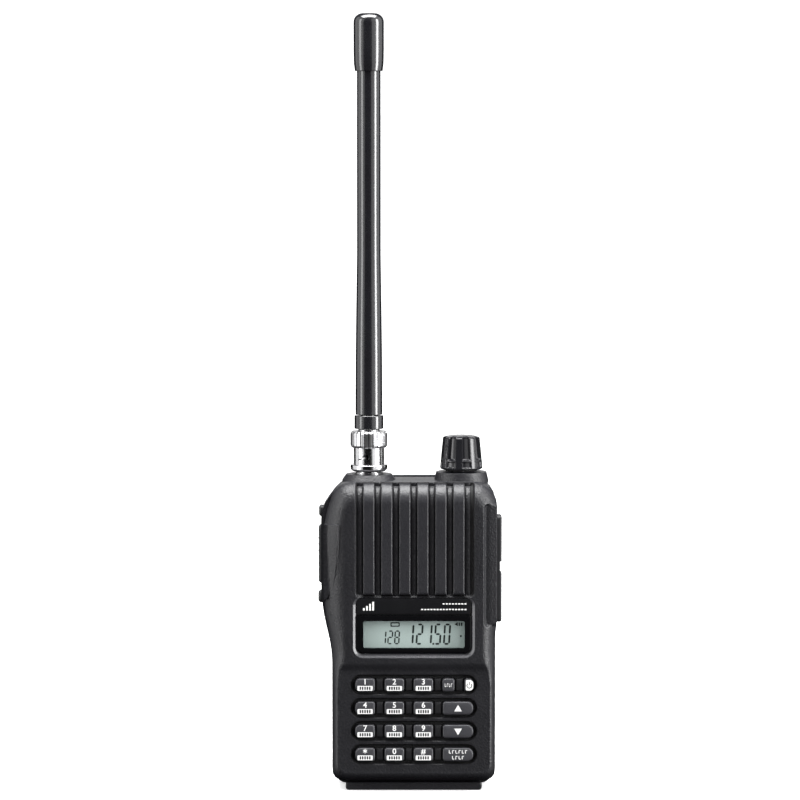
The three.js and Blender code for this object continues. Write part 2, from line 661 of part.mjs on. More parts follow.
function makeClipPlate() {
  const base = plate(centred(13, 93, 107, 2), BACK_Y + GAP, BACK_Y + 1.8, 3);
  const ear = (x0, x1) => profileAcross([
    [BACK_Y + 1, 98.5], [22, 99.6], [23.6, 101], [24, 102.5], [23.6, 104], [22, 105.4],
    [BACK_Y + 1, 106.5],
  ], x0, x1);
  const holes = CLIP_SCREWS_X.map((x) =>
    alongY(rod(1.5, 12, 20, 12)).translate(x, 0, CLIP_SCREW_Z));
  const whole = joined(base, ear(9.4, 11.2), ear(-11.2, -9.4));
  add("clip_plate", cut(whole, ...holes, pinHole(CLIP_PIN.radius + 0.3)), caseBlack);
  CLIP_SCREWS_X.forEach((x, i) => {
    const screw = turned([
      [0, 18.4], [1.6, 18.4], [2.3, 17.6], [1.2, 17.6], [1.2, 12.2], [0, 11.8],
    ], 16);
    const drive = block([-1.3, 1.3], [-0.3, 0.3], [18, 19]);
    const cross = block([-0.3, 0.3], [-1.3, 1.3], [18, 19]);
    const name = i === 0 ? "clip_screw_left" : "clip_screw_right";
    add(name, alongY(cut(screw, drive, cross)).translate(x, 0, CLIP_SCREW_Z), steel);
  });
}

function makeBeltClip() {
  const profile = new THREE.Shape();
  profile.moveTo(24.0, 109.5);
  profile.lineTo(22.4, 109.8);
  profile.quadraticCurveTo(21.8, 106, 20.6, 103);
  profile.lineTo(20.3, 96);
  profile.lineTo(20.3, 42);
  profile.quadraticCurveTo(20.2, 36, 16.2, 32);
  profile.quadraticCurveTo(15.7, 30.6, 16.8, 29.6);
  profile.quadraticCurveTo(19, 27.6, 20.4, 28.6);
  profile.quadraticCurveTo(18.6, 30, 18.4, 31.6);
  profile.quadraticCurveTo(22, 36, 22, 42);
  profile.lineTo(22, 96);
  profile.quadraticCurveTo(23.4, 103, 24.0, 109.5);
  const tongue = profileAcross(profile, -8.5, 8.5, 4);
  const knuckle = alongX(rod(2.5, -8.5, 8.5, 16)).translate(0, CLIP_PIN.y, CLIP_PIN.z);
  const springRoom = block([-3.2, 3.2], [15, 26], [98.6, 106.4]);
  add("belt_clip", cut(joined(tongue, knuckle), pinHole(CLIP_PIN.radius + 0.3), springRoom), caseBlack);
  const pin = rod(CLIP_PIN.radius, -CLIP_PIN.halfLength, CLIP_PIN.halfLength, 12);
  add("clip_pin", alongX(pin).translate(0, CLIP_PIN.y, CLIP_PIN.z), steel);
  const coil = wire(new Helix(1.75, 0, 3.5, -2.2, 2.2), 0.35, 28, 3);
  add("clip_spring", alongX(coil).translate(0, CLIP_PIN.y, CLIP_PIN.z), steel);
}

// ---------------------------------------------------------------- assembly

makeFrontShell();
makeGasket();
makeDisplay();
makeSpeaker();
const mat = makeKeypadMat();
add("keypad_mat", joined(mat.sheet, ...mat.domes), rubber);
makeKeys();
makeBoards();
makeRearChassis();
makeSideButtons();
makeJacks();
makeVolumeKnob();
makeSocket();
makeCouplingSleeve();
makeAntenna();
makeBattery();
makeClipPlate();
makeBeltClip();

export default radio;
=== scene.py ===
# %% [markdown]
# # A handheld two-way radio
# This lesson dresses a working model of a handheld radio. The plain solids, with their sizes, their
# joints and their places, come in as a fixed frame. Blender adds what the eye needs: rounded mouldings,
# a ribbed grille, printed keys, a chrome bayonet connector and honest surfaces. Every piece rides on a
# body of the frame, so that a pressed key or a turned knob takes its fine mesh along.
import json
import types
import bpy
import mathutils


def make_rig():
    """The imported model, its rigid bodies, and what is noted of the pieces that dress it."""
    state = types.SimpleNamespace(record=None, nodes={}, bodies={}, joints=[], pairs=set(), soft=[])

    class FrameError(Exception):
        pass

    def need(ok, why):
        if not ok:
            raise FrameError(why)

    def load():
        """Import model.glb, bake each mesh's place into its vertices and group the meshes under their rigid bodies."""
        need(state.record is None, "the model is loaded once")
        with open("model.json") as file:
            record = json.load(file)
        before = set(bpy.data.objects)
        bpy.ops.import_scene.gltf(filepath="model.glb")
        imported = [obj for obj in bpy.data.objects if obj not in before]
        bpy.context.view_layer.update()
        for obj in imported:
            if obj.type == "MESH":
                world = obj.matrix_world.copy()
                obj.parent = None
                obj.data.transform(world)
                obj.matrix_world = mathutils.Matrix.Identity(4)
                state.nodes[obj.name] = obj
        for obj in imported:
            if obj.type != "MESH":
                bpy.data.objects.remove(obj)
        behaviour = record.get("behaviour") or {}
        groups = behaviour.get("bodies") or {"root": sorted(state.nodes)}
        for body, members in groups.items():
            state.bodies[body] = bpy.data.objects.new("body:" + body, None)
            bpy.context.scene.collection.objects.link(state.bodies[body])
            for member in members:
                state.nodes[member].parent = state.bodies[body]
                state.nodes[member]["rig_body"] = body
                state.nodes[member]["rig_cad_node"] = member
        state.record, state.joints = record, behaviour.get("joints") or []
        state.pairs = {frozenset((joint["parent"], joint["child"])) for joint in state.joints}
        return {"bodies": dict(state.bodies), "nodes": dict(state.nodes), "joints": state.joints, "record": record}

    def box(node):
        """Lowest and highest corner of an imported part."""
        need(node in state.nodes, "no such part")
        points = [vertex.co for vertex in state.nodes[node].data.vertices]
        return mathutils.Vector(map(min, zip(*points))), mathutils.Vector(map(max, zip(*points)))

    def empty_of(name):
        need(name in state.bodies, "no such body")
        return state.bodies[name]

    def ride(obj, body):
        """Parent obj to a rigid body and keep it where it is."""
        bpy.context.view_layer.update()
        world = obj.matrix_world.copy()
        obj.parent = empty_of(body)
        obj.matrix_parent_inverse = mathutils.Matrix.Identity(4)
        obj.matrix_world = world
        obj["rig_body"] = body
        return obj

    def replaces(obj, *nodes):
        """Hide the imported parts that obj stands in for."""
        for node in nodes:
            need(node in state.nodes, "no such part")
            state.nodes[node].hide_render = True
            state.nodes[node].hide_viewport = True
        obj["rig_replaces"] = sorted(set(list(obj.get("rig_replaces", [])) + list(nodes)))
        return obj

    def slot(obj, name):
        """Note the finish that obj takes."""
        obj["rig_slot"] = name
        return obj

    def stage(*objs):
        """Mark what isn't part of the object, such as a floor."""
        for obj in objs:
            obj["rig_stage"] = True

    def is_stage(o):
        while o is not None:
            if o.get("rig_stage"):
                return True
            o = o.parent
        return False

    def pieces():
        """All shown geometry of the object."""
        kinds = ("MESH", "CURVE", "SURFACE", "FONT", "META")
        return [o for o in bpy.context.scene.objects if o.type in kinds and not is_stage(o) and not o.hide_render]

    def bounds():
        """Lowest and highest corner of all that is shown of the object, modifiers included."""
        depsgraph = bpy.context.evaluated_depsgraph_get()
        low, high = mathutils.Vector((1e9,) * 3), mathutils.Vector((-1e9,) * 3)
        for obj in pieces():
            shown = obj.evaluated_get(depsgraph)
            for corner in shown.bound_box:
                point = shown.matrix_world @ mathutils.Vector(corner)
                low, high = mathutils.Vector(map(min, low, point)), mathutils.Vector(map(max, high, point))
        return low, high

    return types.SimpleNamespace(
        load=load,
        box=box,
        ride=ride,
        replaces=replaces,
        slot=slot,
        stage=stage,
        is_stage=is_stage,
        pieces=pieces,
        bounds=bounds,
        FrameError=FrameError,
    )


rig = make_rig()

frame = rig.load()
cad_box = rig.bounds()

import json
import math

import bmesh
import bpy
import numpy as np
from mathutils import Matrix, Vector
from mathutils.geometry import delaunay_2d_cdt

MM = 0.001
print("frame:", len(frame["nodes"]), "nodes,", len(frame["bodies"]), "bodies")

# %% [markdown]
# All sizes below are in millimetres, because that is how a moulding is drawn, and one factor turns them
# into Blender's metres. A small helper reads a node's box in the same unit, so that each new piece takes
# its place from the frame and not from a number typed twice.

# %% Places in millimetres
BODIES = frame["record"]["behaviour"]["bodies"]
BODY_OF = {node: body for body, members in BODIES.items() for node in members}


def box_mm(node):
    low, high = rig.box(node)
    return low / MM, high / MM


def middle_mm(node):
    low, high = box_mm(node)
    return (low + high) / 2


ANTENNA = middle_mm("antenna_sheath").xy
KNOB = middle_mm("volume_knob").xy
FRONT = box_mm("front_shell")[0].y
print("antenna axis", tuple(round(v, 2) for v in ANTENNA), "front face at", round(FRONT, 2))

# %% [markdown]
# Node trees are easier to read as sums than as boxes. `Signal` wraps a socket, and an expression such as
# `1 - mask * 0.4` adds the Math nodes for it. `Tree.node` makes any other node: its type, its settings,
# which are set first, and then what its sockets hold or are linked to. The same two classes serve the
# materials and the geometry.

# %% Node trees as expressions
class Signal:
    def __init__(self, tree, socket):
        self.tree = tree
        self.socket = socket

    def other(self, name):
        return Signal(self.tree, self.socket.node.outputs[name])

    def __add__(self, other):
        return self.tree.math("ADD", self, other)

    def __sub__(self, other):
        return self.tree.math("SUBTRACT", self, other)

    def __rsub__(self, other):
        return self.tree.math("SUBTRACT", other, self)

    def __mul__(self, other):
        return self.tree.math("MULTIPLY", self, other)

    def __truediv__(self, other):
        return self.tree.math("DIVIDE", self, other)

    def __rtruediv__(self, other):
        return self.tree.math("DIVIDE", other, self)

    def __neg__(self):
        return self.tree.math("MULTIPLY", self, -1.0)

    def __pow__(self, other):
        return self.tree.math("POWER", self, other)

    __radd__ = __add__
    __rmul__ = __mul__


class Tree:
    def __init__(self, node_tree):
        self.inner = node_tree

    def node(self, kind, settings=None, values=None, output=0):
        made = self.inner.nodes.new(kind)
        for name, value in (settings or {}).items():
            if name == "stops":
                self.set_stops(made.color_ramp, value)
            else:
                setattr(made, name, value)
        for name, value in (values or {}).items():
            self.feed(made.inputs[name], value)
        return Signal(self, made.outputs[output]) if len(made.outputs) else made

    def feed(self, socket, value):
        if isinstance(value, Signal):
            self.inner.links.new(value.socket, socket)
        else:
            socket.default_value = value

    def set_stops(self, ramp, stops):
        while len(ramp.elements) < len(stops):
            ramp.elements.new(0.5)
        for element, (place, grey) in zip(ramp.elements, stops):
            element.position = place
            element.color = (grey, grey, grey, 1.0)

    def math(self, operation, *values):
        return self.node("ShaderNodeMath", {"operation": operation}, dict(enumerate(values)))

    def clamp(self, value, low=0.0, high=1.0):
        return self.math("MAXIMUM", self.math("MINIMUM", value, high), low)


# %% [markdown]
# ## Finishes
# A moulded radio is mostly one dark plastic, so what tells its parts apart is texture and gloss: the case
# has a fine spark-eroded grain, the keys are smoother, the rubber is softer and duller, and the window
# shines. Each finish comes from a short function. The grain is a fine noise in object coordinates that
# feeds the bump, a little of the colour and a little of the roughness.

# %% Shared steps of a finish
def new_finish(name):
    material = bpy.data.materials.new(name)
    material.use_nodes = True
    material.node_tree.nodes.clear()
    return material, Tree(material.node_tree)


def object_place(tree, stretch=(1.0, 1.0, 1.0)):
    place = tree.node("ShaderNodeTexCoord", output="Object")
    return tree.node("ShaderNodeMapping", values={"Vector": place, "Scale": stretch})


def noise(tree, per_mm, detail=3.0, stretch=(1.0, 1.0, 1.0)):
    values = {"Vector": object_place(tree, stretch), "Scale": per_mm / MM, "Detail": detail}
    return tree.node("ShaderNodeTexNoise", values=values, output="Fac")


def shade(tree, dark, light, share):
    """A colour between two, as share goes from 0 to 1."""
    dark, light = (c if isinstance(c, Signal) else (*c, 1.0) for c in (dark, light))
    values = {"Factor": share, "A": dark, "B": light}
    made = tree.node("ShaderNodeMix", {"data_type": "RGBA"}, output=2)
    for name, value in values.items():
        wanted = [s for s in made.socket.node.inputs if s.name == name and s.enabled]
        tree.feed(wanted[0], value)
    return made


def bump(tree, height, depth_mm):
    values = {"Height": height, "Distance": depth_mm * MM, "Strength": 1.0}
    return tree.node("ShaderNodeBump", values=values)


def surface(tree, **sockets):
    names = {name.replace("_", " "): value for name, value in sockets.items()}
    shader = tree.node("ShaderNodeBsdfPrincipled", values=names)
    tree.node("ShaderNodeOutputMaterial", values={"Surface": shader})


def grained(name, colour, roughness, grain_per_mm, grain_mm, speckle=0.25, gloss_spread=0.12, **sockets):
    """A moulded surface: fine grain, faint clouds of colour and uneven gloss."""
    material, tree = new_finish(name)
    grain = noise(tree, grain_per_mm, 2.0)
    clouds = noise(tree, 0.09, 3.0)
    share = tree.clamp(grain * speckle + clouds * 0.5 + (0.25 - speckle / 2))
    dark = tuple(channel * 0.72 for channel in colour)
    light = tuple(channel * 1.28 for channel in colour)
    uneven = (clouds - 0.5) * gloss_spread + (grain - 0.5) * gloss_spread + roughness
    surface(
        tree,
        Base_Color=shade(tree, dark, light, share),
        Roughness=tree.clamp(uneven, 0.05, 1.0),
        Normal=bump(tree, grain, grain_mm),
        **sockets,
    )
    return material


# %% The dark plastics and rubbers
case_finish = grained("case_plastic", (0.0115, 0.0115, 0.0138), 0.40, 1.7, 0.20, speckle=0.9)
rib_finish = grained("grille_plastic", (0.0165, 0.0165, 0.0195), 0.38, 1.7, 0.13, speckle=0.8)
# painted highlight: a lighter, glossier copy of the case plastic for the display pocket's lower and side walls,
# standing in for the top light they catch
bevel_highlight_finish = grained("window_bevel", (0.050, 0.050, 0.055), 0.27, 3.0, 0.01)
key_finish = grained("key_plastic", (0.040, 0.040, 0.045), 0.34, 5.0, 0.012)
membrane_finish = grained("keypad_rubber", (0.0025, 0.0025, 0.003), 0.75, 4.0, 0.01)
rubber_finish = grained("soft_rubber", (0.013, 0.013, 0.015), 0.55, 4.0, 0.03, speckle=0.6)
strip_finish = grained("satin_strip", (0.006, 0.006, 0.007), 0.32, 6.0, 0.006)
knob_finish = grained("knob_plastic", (0.010, 0.010, 0.012), 0.20, 2.5, 0.008)
whip_finish = grained("whip_rubber", (0.009, 0.009, 0.011), 0.25, 1.2, 0.002, Coat_Weight=0.9)
power_finish = grained("power_plastic", (0.040, 0.040, 0.045), 0.38, 5.0, 0.008)
white_print = grained("white_print", (0.80, 0.80, 0.79), 0.50, 6.0, 0.004)
dark_print = grained("dark_print", (0.012, 0.012, 0.014), 0.50, 6.0, 0.004)
board_finish = grained("green_board", (0.012, 0.075, 0.035), 0.40, 1.5, 0.02)
felt_finish = grained("black_felt", (0.012, 0.012, 0.013), 0.95, 7.0, 0.12, speckle=1.0)
paper_finish = grained("cone_paper", (0.050, 0.044, 0.038), 0.85, 2.5, 0.06, speckle=0.8)
cell_finish = grained("cell_wrap", (0.030, 0.080, 0.24), 0.35, 0.8, 0.01)
print("plastics:", [m.name for m in bpy.data.materials if "fk" not in m.name][:20])

# %% [markdown]
# Metal is told by what it reflects. The connector is bright nickel or chrome with the faint rings of the
# lathe, so its noise is squeezed along the turning axis. Steel is duller, and the contacts are gold.

# %% The metals
def turned_metal(name, colour, roughness, ring_mm=0.004, shadow=None):
    """Bright turned metal. shadow gives, for a tree, how dark each place is with painted shade."""
    material, tree = new_finish(name)
    rings = noise(tree, 0.5, 3.0, stretch=(1.0, 1.0, 9.0))
    smudges = noise(tree, 0.12, 2.0)
    uneven = rings * 0.06 + smudges * 0.08 + (roughness - 0.07)
    worn = tuple(channel * 0.86 for channel in colour)
    # painted shade: where a shadow rule is given, the colour is darkened towards an eighth of itself
    unshaded_share = 1 - shadow(tree) if shadow else 1.0
    painted_shade_colour = tuple(channel * 0.12 for channel in colour)
    plated = shade(tree, worn, colour, smudges)
    surface(
        tree,
        Base_Color=shade(tree, painted_shade_colour, plated, unshaded_share) if shadow else plated,
        Metallic=1.0,
        Roughness=tree.clamp(uneven, 0.03, 1.0),
        Normal=bump(tree, rings, ring_mm),
    )
    return material


FLUTES = 26


def painted_flute_shade(tree):
    """Painted shade for the knurled ring: 1 down in its flutes, 0 on their lands."""
    place = tree.node("ShaderNodeSeparateXYZ", values={"Vector": object_place(tree)})
    aside = place.other("X") - ANTENNA.x * MM
    behind = place.other("Y") - ANTENNA.y * MM
    wave = tree.math("COSINE", tree.math("ARCTAN2", behind, aside) * float(FLUTES))
    return tree.clamp((-wave - 0.55) * 3.0)


chrome_finish = turned_metal("bright_chrome", (0.76, 0.76, 0.77), 0.20, ring_mm=0.0015)
# the flutes of the knurled ring get painted shade in their colour
knurl_finish = turned_metal("knurled_chrome", (0.84, 0.84, 0.85), 0.32, ring_mm=0.001, shadow=painted_flute_shade)
steel_finish = turned_metal("plain_steel", (0.52, 0.52, 0.53), 0.32)
gold_finish = turned_metal("contact_gold", (0.83, 0.60, 0.26), 0.22)
copper_finish = turned_metal("coil_copper", (0.72, 0.36, 0.20), 0.28)

# %% [markdown]
# The display has four finishes. The window's surround is printed black behind a glossy sheet. The clear
# part of that sheet is nearly invisible, so it is modelled as a thin sheet that lets most light through.
# The liquid crystal itself is a pale green-grey reflector with a faint haze, and its segments are dark.

# %% The display's finishes
def clear_window():
    material, tree = new_finish("clear_window")
    haze = noise(tree, 0.15, 2.0)
    surface(
        tree,
        Base_Color=shade(tree, (0.01, 0.01, 0.01), (0.03, 0.03, 0.03), haze),
        Roughness=haze * 0.05 + 0.02,
        Alpha=haze * 0.03 + 0.05,
    )
    return material


lens_finish = grained("gloss_black", (0.0035, 0.0035, 0.0040), 0.07, 0.2, 0.002, gloss_spread=0.03)
window_finish = clear_window()
lcd_finish = grained("lcd_ground", (0.44, 0.535, 0.51), 0.45, 7.0, 0.002, speckle=0.35)
segment_finish = grained("lcd_segment", (0.012, 0.018, 0.017), 0.45, 7.0, 0.002)

# %% [markdown]
# Every solid of the frame gets the finish of its slot first. Pieces that show are replaced by finer ones
# further down, and the rest, such as the boards and the speaker, keep their solids and only need this.

# %% Finishes by slot
SLOT_FINISH = {
    "case": case_finish, "key": key_finish, "power_key": power_finish, "rubber": rubber_finish,
    "whip": whip_finish, "trim": strip_finish, "lens": lens_finish, "lcd": lcd_finish,
    "chrome": chrome_finish, "steel": steel_finish, "copper": copper_finish, "contact": gold_finish,
    "board": board_finish, "felt": felt_finish, "paper": paper_finish, "cell": cell_finish,
}
SLOT_OF = {part["node"]: part["material_slot"] for part in frame["record"]["subparts"]}

for node, solid in frame["nodes"].items():
    solid.data.materials.clear()
    solid.data.materials.append(SLOT_FINISH[SLOT_OF[node]])
print("finishes given to", len(SLOT_OF), "solids")

# %% [markdown]
# ## Outlines and meshes
# Three helpers make most of the pieces. `rounded_box` gives a rounded rectangle with a radius for each
# corner. `Mesh` gathers points and faces, each with a finish, and turns them into one object whose place
# is in its mesh. `loft` skins a stack of outlines that all have the same number of points, which is how a
# key, a lens or a turned part is drawn.

# %% Helpers for outlines and meshes
def rounded_box(x0, x1, z0, z1, radii, steps=6):
    """Points (x, z) round a box, with radii at bottom left, bottom right, top right and top left."""
    if isinstance(radii, (int, float)):
        radii = [radii] * 4
    corners = [(x0, z0, 1, 1, 180), (x1, z0, -1, 1, 270), (x1, z1, -1, -1, 0), (x0, z1, 1, -1, 90)]
    points = []
    for (x, z, inward_x, inward_z, start), radius in zip(corners, radii):
        centre = (x + inward_x * radius, z + inward_z * radius)
        for step in range(steps + 1):
            angle = math.radians(start + 90 * step / steps)
            points.append((centre[0] + radius * math.cos(angle), centre[1] + radius * math.sin(angle)))
    return np.array(points)


def flatten_shading(piece):
    """Large faces keep their own normal, so that only the small rounded ones bend the light."""
    weights = piece.modifiers.new("Flat faces stay flat", "WEIGHTED_NORMAL")
    weights.keep_sharp = True
    weights.weight = 90


class Mesh:
    def __init__(self):
        self.points = []
        self.faces = []
        self.slots = []

    def add(self, points, faces, slot=0):
        first = len(self.points)
        self.points.extend(tuple(p) for p in points)
        self.faces.extend(tuple(first + i for i in face) for face in faces)
        self.slots.extend([slot] * len(faces))

    def loft(self, loops, slot=0, closed_ends=(True, True)):
        """Skins loops of equal length, from the first to the last, and fans their ends shut."""
        count = len(loops[0])
        points = [tuple(p) for loop in loops for p in loop]
        faces = []
        for level in range(len(loops) - 1):
            low = level * count
            for i in range(count):
                j = (i + 1) % count
                faces.append((low + i, low + j, low + count + j, low + count + i))
        for wanted, start, order in zip(closed_ends, (0, len(points) - count), (-1, 1)):
            if wanted:
                points.append(tuple(np.mean(points[start:start + count], axis=0)))
                ring = [(start + i, start + (i + 1) % count, len(points) - 1) for i in range(count)]
                faces.extend(face[::order] for face in ring)
        self.add(points, faces, slot)

    def finished(self, name, finishes, sharp_degrees=35):
        data = bpy.data.meshes.new(name)
        data.from_pydata([tuple(c * MM for c in p) for p in self.points], [], self.faces)
        data.polygons.foreach_set("material_index", self.slots)
        for finish in finishes:
            data.materials.append(finish)
        shape = bmesh.new()
        shape.from_mesh(data)
        bmesh.ops.remove_doubles(shape, verts=shape.verts, dist=0.0005 * MM)
        bmesh.ops.recalc_face_normals(shape, faces=shape.faces)
        shape.to_mesh(data)
        shape.free()
        data.shade_smooth()
        data.set_sharp_from_angle(angle=math.radians(sharp_degrees))
        piece = bpy.data.objects.new(name, data)
        bpy.context.scene.collection.objects.link(piece)
        flatten_shading(piece)
        return piece


def seat(piece, node):
    """The piece stands for a node, rides on its body and takes its slot."""
    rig.ride(piece, BODY_OF[node])
    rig.replaces(piece, node)
    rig.slot(piece, SLOT_OF[node])
    return piece


# %% [markdown]
# ## The front shell as a relief
# The front half of the case is one injection moulding. Everything on it faces the front, because the
# mould opens that way, so it can be drawn as a relief: one depth for each point of the front view. The
# depth is a sum of simple rules. The crowned body comes first, then the raised wing beside the talk
# button and the platform on the right, and then each recess, whose wall is a short slope as a mould
# needs. `Recess` knows how far a point is from its rounded outline, and that distance gives both the
# wall and the rounded lip.

# %% The outline of the shell and its plateau
RIM_Y = -6.2
CROWN_START_Y = -9.0
CROWN_BEND = 0.94
CROWN_POWER = 0.7
CROWN_FULL = (1 - (1 - CROWN_BEND) ** 2) ** CROWN_POWER
SKIN = 2.8
RIM_TOP = 110.2
SHELL_CORNERS = [
    (29, 3.2, 5), (29, 56.5, 3), (29.6, 60, 3), (29.6, RIM_TOP, 8.5), (-27.6, RIM_TOP, 5), (-32, 96, 5),
    (-32, 67, 6), (-29.1, 50, 4), (-29.1, 41, 3), (-29.1, 3.2, 5),
]
PLATEAU_CORNERS = [
    (26.5, 7.5, 3), (26.5, 41, 3), (24.2, 47.5, 3), (24.2, 103.6, 4), (-23.8, 103.6, 4), (-23.8, 95, 1),
    (-23.8, 67, 1), (-23.8, 47.5, 2.5), (-26.4, 41, 3), (-26.4, 7.5, 3),
]


def soft_corners(corners, steps=7, spacing=2.0):
    """A closed outline through corners (x, z, trim), each trimmed by a smooth turn."""
    points = []
    for i, (x, z, trim) in enumerate(corners):
        here = np.array([x, z])
        before = np.array(corners[i - 1][:2]) - here
        after = np.array(corners[(i + 1) % len(corners)][:2]) - here
        start = here + before / np.linalg.norm(before) * trim
        end = here + after / np.linalg.norm(after) * trim
        if points:
            points.extend(evenly(points[-1], start, spacing))
        for share in np.linspace(0, 1, steps):
            weight = 0.7071 * 2 * share * (1 - share)
            total = (1 - share) ** 2 + weight + share ** 2
            points.append(((1 - share) ** 2 * start + weight * here + share ** 2 * end) / total)
    points.extend(evenly(points[-1], points[0], spacing))
    return np.array(points)


def evenly(start, end, spacing):
    """Points between two ends, about as far apart as spacing, without the ends."""
    pieces = max(1, round(np.linalg.norm(np.array(end) - start) / spacing))
    return [np.array(start) + (np.array(end) - start) * k / pieces for k in range(1, pieces)]


def distance_to_outline(points, outline):
    """For each point, how far the closed outline is."""
    nearest = np.full(len(points), 1e9)
    for a, b in zip(outline, np.roll(outline, -1, axis=0)):
        along = b - a
        share = np.clip(((points - a) @ along) / max(along @ along, 1e-12), 0, 1)
        gap = points - a - share[:, None] * along
        nearest = np.minimum(nearest, np.hypot(gap[:, 0], gap[:, 1]))
    return nearest


def inside_outline(points, outline):
    """For each point, whether the closed outline holds it."""
    held = np.zeros(len(points), bool)
    for (x0, z0), (x1, z1) in zip(outline, np.roll(outline, -1, axis=0)):
        if z0 == z1:
            continue
        crosses = (points[:, 1] > min(z0, z1)) & (points[:, 1] <= max(z0, z1))
        at = x0 + (points[:, 1] - z0) / (z1 - z0) * (x1 - x0)
        held ^= crosses & (points[:, 0] < at)
    return held


shell_outline = soft_corners(SHELL_CORNERS)
plateau_outline = soft_corners(PLATEAU_CORNERS)
print("shell outline", len(shell_outline), "points, plateau", len(plateau_outline))


# %% The crowned body
def crown(share):
    """Depth of the flank, from the rim of the shell (0) to the plateau (1)."""
    rise = (1 - (1 - CROWN_BEND * share) ** 2) ** CROWN_POWER
    return CROWN_START_Y + (FRONT - CROWN_START_Y) * rise / CROWN_FULL


def plateau_share(points):
    """0 on the rim of the shell, 1 on the plateau."""
    to_rim = distance_to_outline(points, shell_outline)
    to_plateau = distance_to_outline(points, plateau_outline)
    return np.where(inside_outline(points, plateau_outline), 1.0, to_rim / (to_rim + to_plateau + 1e-9))


def base_depth(points):
    return crown(plateau_share(points))


# %% [markdown]
# A recess, a hole and a pad differ only in what they do inside their outline. The signed distance to a
# rounded rectangle is a short formula, so the lip, the wall and the foot of each recess need no guessing:
# the loops that carry the mesh are the same outline, grown or shrunk to the distances where the wall
# bends.

# %% Recesses, pads and holes
class Recess:
    def __init__(self, x0, x1, z0, z1, radius, depth, wall, lip=0.25, steps=7):
        self.box = (x0, x1, z0, z1)
        self.radius = radius
        self.depth = depth
        self.wall = wall
        self.lip = lip
        self.steps = steps

    def distance(self, points):
        """Signed distance to the outline, negative inside."""
        x0, x1, z0, z1 = self.box
        across = np.abs(points[:, 0] - (x0 + x1) / 2) - (x1 - x0) / 2 + self.radius
        along = np.abs(points[:, 1] - (z0 + z1) / 2) - (z1 - z0) / 2 + self.radius
        outside = np.hypot(np.maximum(across, 0), np.maximum(along, 0))
        return outside + np.minimum(np.maximum(across, along), 0) - self.radius

    def loop(self, grown):
        x0, x1, z0, z1 = self.box
        radius = max(self.radius + grown, 0.05)
        corners = rounded_box(x0 - grown, x1 + grown, z0 - grown, z1 + grown, radius, self.steps)
        points = [corners[0]]
        for corner in corners[1:]:
            points.extend(evenly(points[-1], corner, 2.5))
            points.append(corner)
        points.extend(evenly(points[-1], corners[0], 2.5))
        return np.array(points)

    def loops(self):
        """The outline at the distances where the wall bends."""
        turns = [self.lip, self.lip * 0.62, self.lip * 0.3, 0, -self.wall * 0.15]
        feet = [-self.wall * 0.85, -self.wall - self.lip * 0.4, -self.wall - self.lip]
        return [self.loop(grown) for grown in turns + feet]

    def share(self, points):
        """0 outside the recess, 1 on its floor, with a rounded lip and foot."""
        across = (self.lip - self.distance(points)) / (self.wall + 2 * self.lip)
        across = np.clip(across, 0, 1)
        soft = self.lip / (self.wall + 2 * self.lip)
        rising = across ** 2 / (2 * soft)
        falling = 1 - soft - (1 - across) ** 2 / (2 * soft)
        middle = across - soft / 2
        made = np.where(across < soft, rising, np.where(across > 1 - soft, falling, middle))
        return np.clip(made / (1 - soft), 0, 1)


KEY_ROW_Z = [middle_mm(name).z for name in ("key_1", "key_4", "key_7", "key_star")]
grille_recess = Recess(-20.6, 21.4, 69.95, 111.5, 1.6, 1.6, 0.25, lip=0.3)
display_pocket = Recess(-21.5, 21.6, 48.25, 70.3, 3.6, 0.95, 1.1, lip=0.2)
display_seat = Recess(-20.45, 20.45, 49.7, 69.75, 2.4, 0.65, 0.06, lip=0.08)
key_troughs = [Recess(-22.4, 22.4, z - 3.45, z + 3.45, 3.4, 1.35, 0.12, lip=0.3) for z in KEY_ROW_Z]
window_hole = Recess(-18.6, 18.6, 51.2, 62, 0.8, 0, 0)
WING_TOP_Z = 95.4
WING_HEIGHT = 27.0
WING_START_X = -32.2
WING_REACH = 5.5
WING_RISE = 0.7
WING_FACE_Y = -12.55
WING_SLOPE = 0.75
PLATFORM_FACE_Y = -13.5
PLATFORM_SLOPE = 0.35
right_platform = Recess(24.9, 29.9, 59.2, 103.1, 1.6, 0, 0.5, lip=0.2)
FLOOR_Y = -13.9
TURN_START_Z = 100.5
TURN_HEIGHT = 8.4
TURN_DEPTH = 5.3


def grille_floor(z):
    """The floor behind the ribs is flat, and then follows the round top of the case back."""
    turn = np.clip((z - TURN_START_Z) / TURN_HEIGHT, 0, 0.995)
    return FLOOR_Y + TURN_DEPTH * (1 - np.sqrt(1 - turn ** 2))


# %% [markdown]
# The key field lies a little lower than the display. The slope between them is the dark band under the
# display, and the lower plateau runs out into the flanks.

# %% The depth of every point of the front
FIELD_DEPTH = 0.95
STEP_FOOT = 43.0
STEP_TOP = 46.4
STEP_REACH = 28.0
GROOVE_REACH = 20.4
STRIP_HALF = 0.95
STRIP_RISE = 0.42
RIB_PITCH = 6.38


def ramp(value, start, end):
    share = np.clip((value - start) / (end - start), 0, 1)
    return share * share * (3 - 2 * share)


def groove_offset(x):
    """How far a point is from the middle of its groove."""
    return (x + RIB_PITCH / 2) % RIB_PITCH - RIB_PITCH / 2


def key_field(points):
    return FIELD_DEPTH * plateau_share(points) ** 2 * ramp(points[:, 1], STEP_TOP, STEP_FOOT)


def wing_edge(z):
    """The inner edge of the raised wing beside the talk button, a quarter of an ellipse."""
    drop = np.clip((WING_TOP_Z - z) / WING_HEIGHT, 0, 1)
    return WING_START_X + WING_REACH * np.sqrt(1 - drop ** 2)


